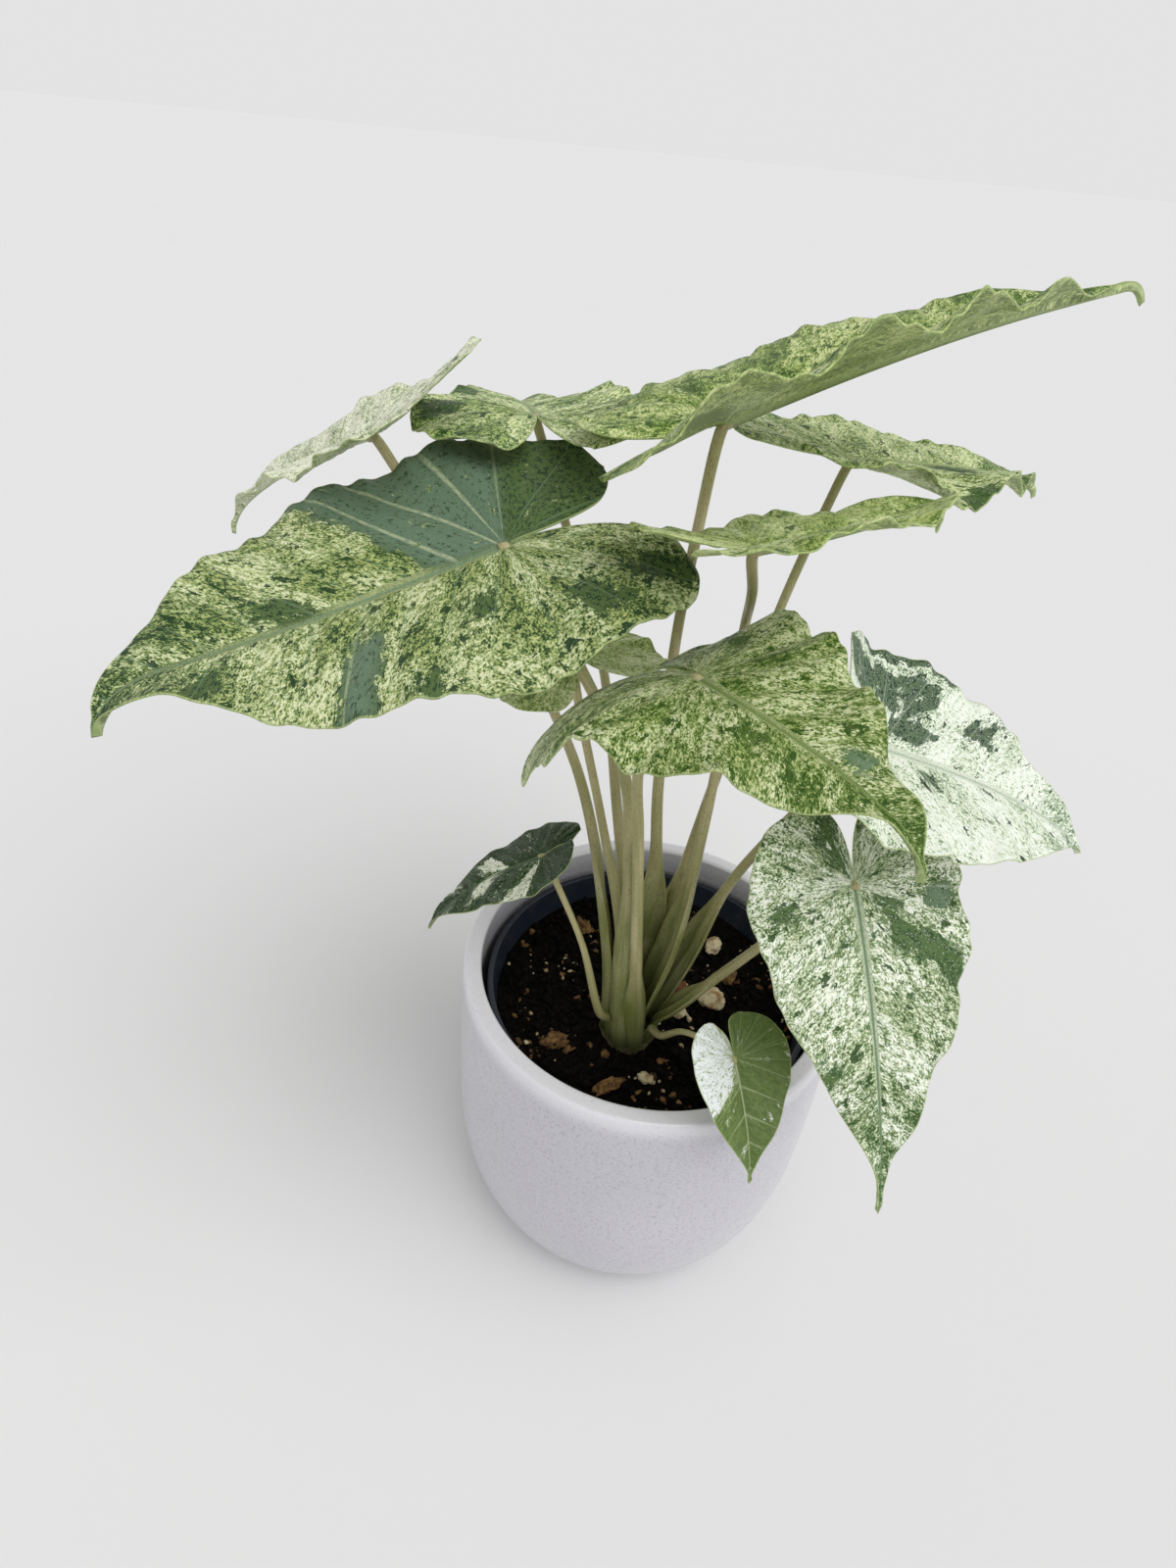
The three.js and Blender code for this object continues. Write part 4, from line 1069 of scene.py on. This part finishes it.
def leaf_material(name, look, length_along, under=False):
    """A satin leaf: fine specks and blotches that follow the side veins, veins, midrib and a pale rim."""
    shader = Shader(name, IOR=1.35, Specular_IOR_Level=0.2)
    start, length, seed = shader.attribute("grain")
    dark, pale, frosted = shader.attribute("marks")
    rib, edge, reach = shader.attribute("anatomy")
    veined = (start, length, seed)
    fine, grain, spot, streak, cloud, border = [
        shader.noise(shader.stretched(veined, row[:3]), 1, *row[3:]) for row in LEAF_NOISE.values()
    ]
    cream, tint, green, deep = [look[key] for key in ("cream", "tint", "green", "deep")]

    # Specks, denser towards the tip and in dark areas
    tone = shader.mix(shader.step(cloud, 0.42, 0.64, 0, 0.85), cream, tint)
    tone = shader.mix(shader.step(grain, 0.47, 0.56, 0, 0.65), tone, tint)
    tip = shader.step(start, 0.45 * length_along, length_along, -0.3, -0.25)
    cover = shader.times(cloud, 0.22, shader.maths("ADD", tip, look["specks"] * 0.34 + 0.02))
    cover = shader.times(streak, 0.1, shader.maths("SUBTRACT", cover, 0.05))
    cover = shader.times(dark, 0.05, cover)
    cover = shader.times(pale, -0.16, cover)
    value = shader.times(fine, 0.55, cover)
    value = shader.times(grain, 0.45, value)
    tone = shader.mix(shader.step(value, *GREEN_EDGE, 0, 0.85), tone, green)
    tone = shader.mix(shader.step(value, *DEEP_EDGE, 0, 0.92), tone, deep)
    drops = shader.times(fine, 0.15, shader.times(cover, 0.6, spot))
    tone = shader.mix(shader.step(drops, *DROP_EDGE, 0, 0.94), tone, deep)

    # Blotches with pale holes, frosted or mottled inside
    field = shader.times(dark, 0.34, look["blotches"] * 0.3 - 0.2)
    field = shader.times(pale, -0.6, field)
    field = shader.maths("ADD", field, shader.times(fine, 0.2, -0.1))
    field = shader.maths("ADD", field, border)
    blotch = shader.step(field, *BLOTCH_EDGE)
    frost = shader.mix(shader.step(grain, 0.56, 0.6, 0.55, 0.1), deep, FROST)
    mottle = shader.mix(shader.step(grain, 0.5, 0.56), shader.mix(0.35, deep, green), deep)
    patch = shader.mix(frosted, mottle, frost)
    holes = shader.step(shader.times(grain, 0.4, fine), *HOLE_EDGE, 0, look.get("holes", 0.7))
    tone = shader.mix(shader.times(blotch, 0.96), tone, shader.mix(holes, patch, cream))

    # Pale patches with green flecks, and a few rust specks
    clear = shader.step(shader.times(border, 2.4, pale), *PALE_EDGE)
    flecks = shader.step(shader.times(fine, 0.55, shader.times(grain, 0.45)), *FLECK_EDGE)
    tone = shader.mix(clear, tone, shader.mix(flecks, cream, green))
    tone = shader.mix(shader.step(shader.times(fine, 0.2, spot), *RUST_EDGE, 0, 0.8), tone, RUST)

    # Side veins, widest and palest where the blade is frosted, then midrib and rim
    offset = shader.maths("PINGPONG", start, look["veins"] / 2)
    shown = shader.times(frosted, blotch)
    width = shader.times(shown, 0.35, shader.step(reach, 0, 1, 0.42, 0.12))
    strength = shader.times(shown, 0.3, 0.4)
    vein = shader.step(shader.maths("DIVIDE", offset, width), 0.4, 1.4, strength, 0)
    vein = shader.times(vein, shader.step(grain, 0.35, 0.6, 0.3, 1))
    tone = shader.mix(vein, tone, shader.mix(shader.times(shown, 0.6), look["rib"], cream))
    rib_share = shader.step(rib, 0.15, 0.6, 0.85, 0)
    rib_tone = shader.mix(shader.step(fine, 0.45, 0.6, 0, 0.6), look["rib"], deep)
    tone = shader.mix(rib_share, tone, rib_tone)
    tone = shader.mix(shader.step(edge, 0.08, 0.38, 0.6, 0), tone, RIM_COLOUR)

    if under:
        # The underside is washed with that pale colour: partly its own tone, partly painted light that
        # brightens it as if lit through the blade.
        shader.colour(shader.mix(0.24, tone, UNDERSIDE_AND_THROUGH_LIGHT))
        shader.roughness(shader.step(cloud, 0.3, 0.7, 0.5, 0.62))
        shader.bump(shader.maths("ADD", vein, rib_share), 0.6, 0.0004)
        return shader.material
    shader.colour(tone)
    shader.roughness(shader.step(streak, 0.3, 0.7, 0.4, 0.56))
    relief = shader.times(vein, -0.6, shader.times(fine, 0.15, shader.times(streak, 0.4)))
    shader.bump(relief, 0.35, 0.0004)
    return shader.material


for leaf_name in LEAVES:
    add_leaf(leaf_name)

# Stalks
SHEATH_RISE = 8
SHEATH_LEAN = 0.12
SHEATH_SHARE = 0.75
STALK_ROWS = 110
STALK_SIDES = 28
STALK_SINK = 4
STALK_TOP_DROP = 0.9
STALK_TOP_REACH = 1.5
ROUTE_STEPS = 60
SHEATH_WRAP = 76
SHEATH_EDGE = 0.35
SHEATH_OPENING = 0.35
SHEATH_LEAST = 1.2
SHEATH_ENDS = 0.55
GRAIN_RADIUS = 2

# Corm: radii and heights of its outline, above its bottom and below its top
CORM_BOTTOM = 62
CORM_FOOT = [(1, 0), (5, 0.8), (8.2, 4), (10.2, 12), (10, 20), (10.4, 26)]
CORM_HEAD = [(10.5, 4), (10.2, 2), (9.2, 0.6), (1, 0)]
CORM_SIDES = 72

# Dry scale
HUSK_LENGTH = 13
HUSK_HALF_WIDTH = 3.9
HUSK_TURN = 30
HUSK_HEIGHT = 2.9
HUSK_ARCH = 0.16
HUSK_RIB = 0.5
HUSK_RIB_TURN = 3.5
HUSK_WAVE = 0.4
HUSK_WAVE_TURN = 9
HUSK_THICKNESS = 0.35
HUSK_ROWS = 40
HUSK_COLUMNS = 18


def smooth_route(places, steps):
    """Even steps along a centripetal Catmull-Rom curve through the places, with the directions along it."""
    places = np.array(places, float)
    ends = np.concatenate([[2 * places[0] - places[1]], places, [2 * places[-1] - places[-2]]])
    dense = []
    for i in range(len(places) - 1):
        before, first, second, after = ends[i:i + 4]
        pairs = ((before, first), (first, second), (second, after))
        near, span, far = [math.sqrt(np.linalg.norm(b - a)) for a, b in pairs]
        pace = (second - first) / span
        leave = ((first - before) / near - (second - before) / (near + span) + pace) * span
        reach = (pace - (after - first) / (span + far) + (after - second) / far) * span
        share = np.linspace(0, 1, ROUTE_STEPS)[:, None]
        cubic = 2 * first - 2 * second + leave + reach
        square = -3 * first + 3 * second - 2 * leave - reach
        dense.append(first + leave * share + square * share**2 + cubic * share**3)
    dense = np.concatenate(dense)
    lengths = np.concatenate([[0], np.cumsum(np.linalg.norm(np.diff(dense, axis=0), axis=1))])
    even = np.linspace(0, lengths[-1], steps + 1)
    points = np.stack([np.interp(even, lengths, dense[:, i]) for i in range(3)], axis=1)
    return points, unit(np.gradient(points, axis=0))


def stalk_route(leaf):
    foot_angle, ring = leaf["foot"]
    angle = math.radians(foot_angle)
    foot = np.array([CROWN_X + ring * math.cos(angle), CROWN_Y + ring * math.sin(angle), CROWN_TOP])
    via = [np.array(place, float) for place in leaf["via"]]
    rise = foot + np.array([0, 0, SHEATH_RISE])
    rise[:2] += (via[0][:2] - foot[:2]) * SHEATH_LEAN
    sunk = foot - np.array([0, 0, STALK_SINK])
    _, _, forward, _, above = midrib_frames(leaf)
    top = np.array(leaf["at"]) - above[0] * STALK_TOP_DROP
    ahead = top + forward[0] * STALK_TOP_REACH
    return [sunk, foot, rise, *via, top, ahead], angle


def section(radius, width, share):
    """Outline of a stalk as (outward, sideways) points: round, or open like a trough where it sheathes."""
    turns = np.linspace(0, 2 * math.pi, STALK_SIDES, endpoint=False)
    ring = np.stack([radius * np.cos(turns), radius * np.sin(turns)], axis=1)
    half = STALK_SIDES // 2
    spread = np.linspace(-1, 1, half)
    wrap = math.radians(SHEATH_WRAP)
    bend = spread * wrap
    curve = width / math.sin(wrap)
    wall = SHEATH_EDGE + (1.5 * radius - SHEATH_EDGE) * np.cos(spread * math.pi / 2) ** 2
    outer = np.stack([radius + curve * (np.cos(bend) - 1), curve * np.sin(bend)], axis=1)
    inner_curve = np.maximum(curve - wall, 0.2)
    inner = np.stack([radius - curve + inner_curve * np.cos(bend), inner_curve * np.sin(bend)], axis=1)
    trough = np.concatenate([outer, inner[::-1]])
    trough = np.roll(trough, -(half // 2), axis=0)
    return ring * (1 - share) + trough * share


def stalk_material():
    """Pale olive stalk with fine brown specks in lines, greener and paler where it sheathes, darker olive
    towards the foot and painted shade where it goes into the mix.
    """
    shader = Shader("stalk", IOR=1.42, Subsurface_Weight=0.1, Subsurface_Scale=0.002)
    along, around, sheath = shader.attribute("stalk")
    seed = shader.attribute("kind")[0]
    skin = (around, along, seed)
    line = shader.noise(shader.stretched(skin, (0.9, 0.05, 1)), 1, 3, 0.5)
    speck = shader.noise(shader.stretched(skin, (2.6, 1.2, 1.3)), 1, 3, 0.6)
    cloud = shader.noise(shader.stretched(skin, (0.1, 0.04, 2.1)), 1, 3, 0.5)
    tone = shader.mix(shader.step(cloud, 0.35, 0.65), (178, 170, 128), (152, 150, 102))
    tone = shader.mix(shader.step(line, 0.5, 0.7, 0, 0.5), tone, (132, 136, 82))
    lower = shader.mix(shader.step(cloud, 0.35, 0.65), (152, 154, 108), (128, 134, 78))
    lower = shader.mix(shader.step(line, 0.48, 0.62, 0, 0.7), lower, (108, 118, 52))
    tone = shader.mix(sheath, tone, lower)
    brown = shader.step(speck, 0.56, 0.64, 0, 0.6)
    tone = shader.mix(brown, tone, (114, 86, 58))
    # Darker olive towards the foot, then painted shade over the last few millimetres where the stalks go
    # down into the mix.
    tone = shader.mix(shader.step(along, 10, 50, 0.35, 0), tone, (98, 108, 52))
    shader.colour(shader.mix(shader.step(along, 3, 14, 0.8, 0), tone, (46, 52, 24)))
    shader.roughness(shader.step(line, 0.3, 0.7, 0.36, 0.5))
    shader.bump(line, 0.35, 0.0005)
    return shader.material


def add_stalk(name, material):
    leaf = LEAVES[name]
    places, angle = stalk_route(leaf)
    points, forward = smooth_route(places, STALK_ROWS)
    sheath_end, sheath_width = leaf["sheath"]
    foot_radius, top_radius = leaf["stalk"]
    outward = np.array([math.cos(angle), math.sin(angle), 0.0])
    around = np.linspace(0, 2 * math.pi * GRAIN_RADIUS, STALK_SIDES, endpoint=False)
    total = []
    numbers = []
    travelled = np.concatenate([[0], np.cumsum(np.linalg.norm(np.diff(points, axis=0), axis=1))])
    for i, (point, ahead) in enumerate(zip(points, forward)):
        part = i / STALK_ROWS
        outward = unit(outward - ahead * np.dot(outward, ahead))
        sideways = np.cross(ahead, outward)
        narrowing = min(1, part / SHEATH_SHARE)
        radius = foot_radius + (top_radius - foot_radius) * narrowing**2 * (3 - 2 * narrowing)
        open_share = min(1, max(0, (sheath_end - part) / (SHEATH_OPENING * sheath_end)))
        open_share = open_share**2 * (3 - 2 * open_share)
        swell = math.sin(math.pi * min(1, part / sheath_end) * 0.85 + 0.35)
        width = max(radius * SHEATH_LEAST, sheath_width * (SHEATH_ENDS + (1 - SHEATH_ENDS) * swell))
        outline = section(radius, width, open_share)
        total.append(point + np.outer(outline[:, 0], outward) + np.outer(outline[:, 1], sideways))
        along = np.full(STALK_SIDES, travelled[i])
        numbers.append(np.stack([along, around, np.full(STALK_SIDES, open_share)], axis=1))
    points = np.concatenate(total)
    faces = tube_faces(STALK_ROWS + 1, STALK_SIDES)
    piece = build_piece(f"stalk_{name}", points, faces, [material], [f"petiole_{name}"])
    set_numbers(piece.data, "stalk", np.concatenate(numbers))
    set_numbers(piece.data, "kind", np.full_like(points, float(name)))


def add_corm():
    profile = [(radius, CORM_BOTTOM + up) for radius, up in CORM_FOOT]
    profile += [(radius, CROWN_TOP - down) for radius, down in CORM_HEAD]
    points, faces = turned(profile, CORM_SIDES)
    moved = []
    for x, y, z in points:
        swell = 1 + 0.04 * hills((x, y, z), 6, 3)
        moved.append((CROWN_X + x * swell, CROWN_Y + y * swell, z))
    build_piece("corm", moved, faces, [grained_material("corm")], ["crown"])


def add_husk():
    """A curled scale lying by the stalks, thin, ribbed and drawn out to a torn point."""
    low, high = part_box("dry_scale")
    middle = (low + high) / (2 * MM)
    bottom = low.z / MM
    turn = math.radians(HUSK_TURN)
    points = []
    for i in range(HUSK_ROWS + 1):
        part = i / HUSK_ROWS
        along = (part - 0.5) * HUSK_LENGTH
        half = HUSK_HALF_WIDTH * math.sin(math.pi * min(0.98, part * 0.9 + 0.08)) ** 0.7
        for j in range(HUSK_COLUMNS + 1):
            across = (j / HUSK_COLUMNS * 2 - 1) * half
            ribs = HUSK_RIB * math.sin(HUSK_RIB_TURN * across + part)
            height = bottom + HUSK_HEIGHT - HUSK_ARCH * across * across + ribs
            height = max(bottom + 0.1, height + HUSK_WAVE * math.sin(part * HUSK_WAVE_TURN))
            x = middle.x + along * math.cos(turn) - across * math.sin(turn)
            y = middle.y + along * math.sin(turn) + across * math.cos(turn)
            points.append((x, y, height))
    faces = grid_faces(HUSK_ROWS + 1, HUSK_COLUMNS + 1)
    piece = build_piece("husk", points, faces, [grained_material("husk")], ["dry_scale"])
    body = piece.modifiers.new("body", "SOLIDIFY")
    body.thickness = HUSK_THICKNESS * MM
    body.offset = 0


shared_stalk = stalk_material()
for stalk_name in LEAVES:
    add_stalk(stalk_name, shared_stalk)
add_corm()
add_husk()

# Floor and light, in metres
FLOOR_RADIUS = 40
FLOOR_SIDES = 96
FLOOR_TONES = ((219, 219, 219), (217, 217, 217))

# Suns: where each shines from, its angle in degrees and its strength
SUNS = {
    "window": ((0.8, -0.7, 1.6), 60, 2.06),
    "room": ((-0.9, 0.5, 1.2), 90, 0.2),
}

# Strength of the sky low down and overhead, and between which heights it changes
SKY_STRENGTH = (0.77, 0.15)
SKY_FADE = (0.6, 0.95)


def add_floor():
    """A pale floor that runs off into the equally pale sky."""
    angles = np.linspace(0, 2 * math.pi, FLOOR_SIDES, endpoint=False)
    points = [(FLOOR_RADIUS * math.cos(a), FLOOR_RADIUS * math.sin(a), 0) for a in angles]
    mesh = bpy.data.meshes.new("floor")
    mesh.from_pydata(points, [], [tuple(range(FLOOR_SIDES))])
    shader = Shader("floor", Roughness=0.9, Specular_IOR_Level=0.1)
    shader.colour(shader.mix(shader.noise(shader.place(), 3, 2), *FLOOR_TONES))
    mesh.materials.append(shader.material)
    floor = bpy.data.objects.new("floor", mesh)
    bpy.context.scene.collection.objects.link(floor)


def add_sun(name):
    """A soft light from far off, shining towards the pot."""
    place, softness, strength = SUNS[name]
    data = bpy.data.lights.new(name, "SUN")
    data.angle = math.radians(softness)
    data.energy = strength
    light = bpy.data.objects.new(name, data)
    light.rotation_euler = Vector(place).to_track_quat("Z", "Y").to_euler()
    light.location = place
    bpy.context.scene.collection.objects.link(light)


def add_sky():
    """An even pale sky that dims overhead."""
    world = bpy.data.worlds.new("sky")
    world.use_nodes = True
    nodes = world.node_tree.nodes
    links = world.node_tree.links
    direction = nodes.new("ShaderNodeTexCoord")
    parts = nodes.new("ShaderNodeSeparateXYZ")
    fade = nodes.new("ShaderNodeMapRange")
    for index, value in enumerate((*SKY_FADE, *SKY_STRENGTH), start=1):
        fade.inputs[index].default_value = value
    links.new(direction.outputs["Generated"], parts.inputs[0])
    links.new(parts.outputs[2], fade.inputs[0])
    links.new(fade.outputs[0], nodes["Background"].inputs["Strength"])
    nodes["Background"].inputs["Color"].default_value = (1, 1, 1, 1)
    bpy.context.scene.world = world


add_floor()
for sun_name in SUNS:
    add_sun(sun_name)
add_sky()
bpy.context.scene.view_settings.view_transform = "Standard"
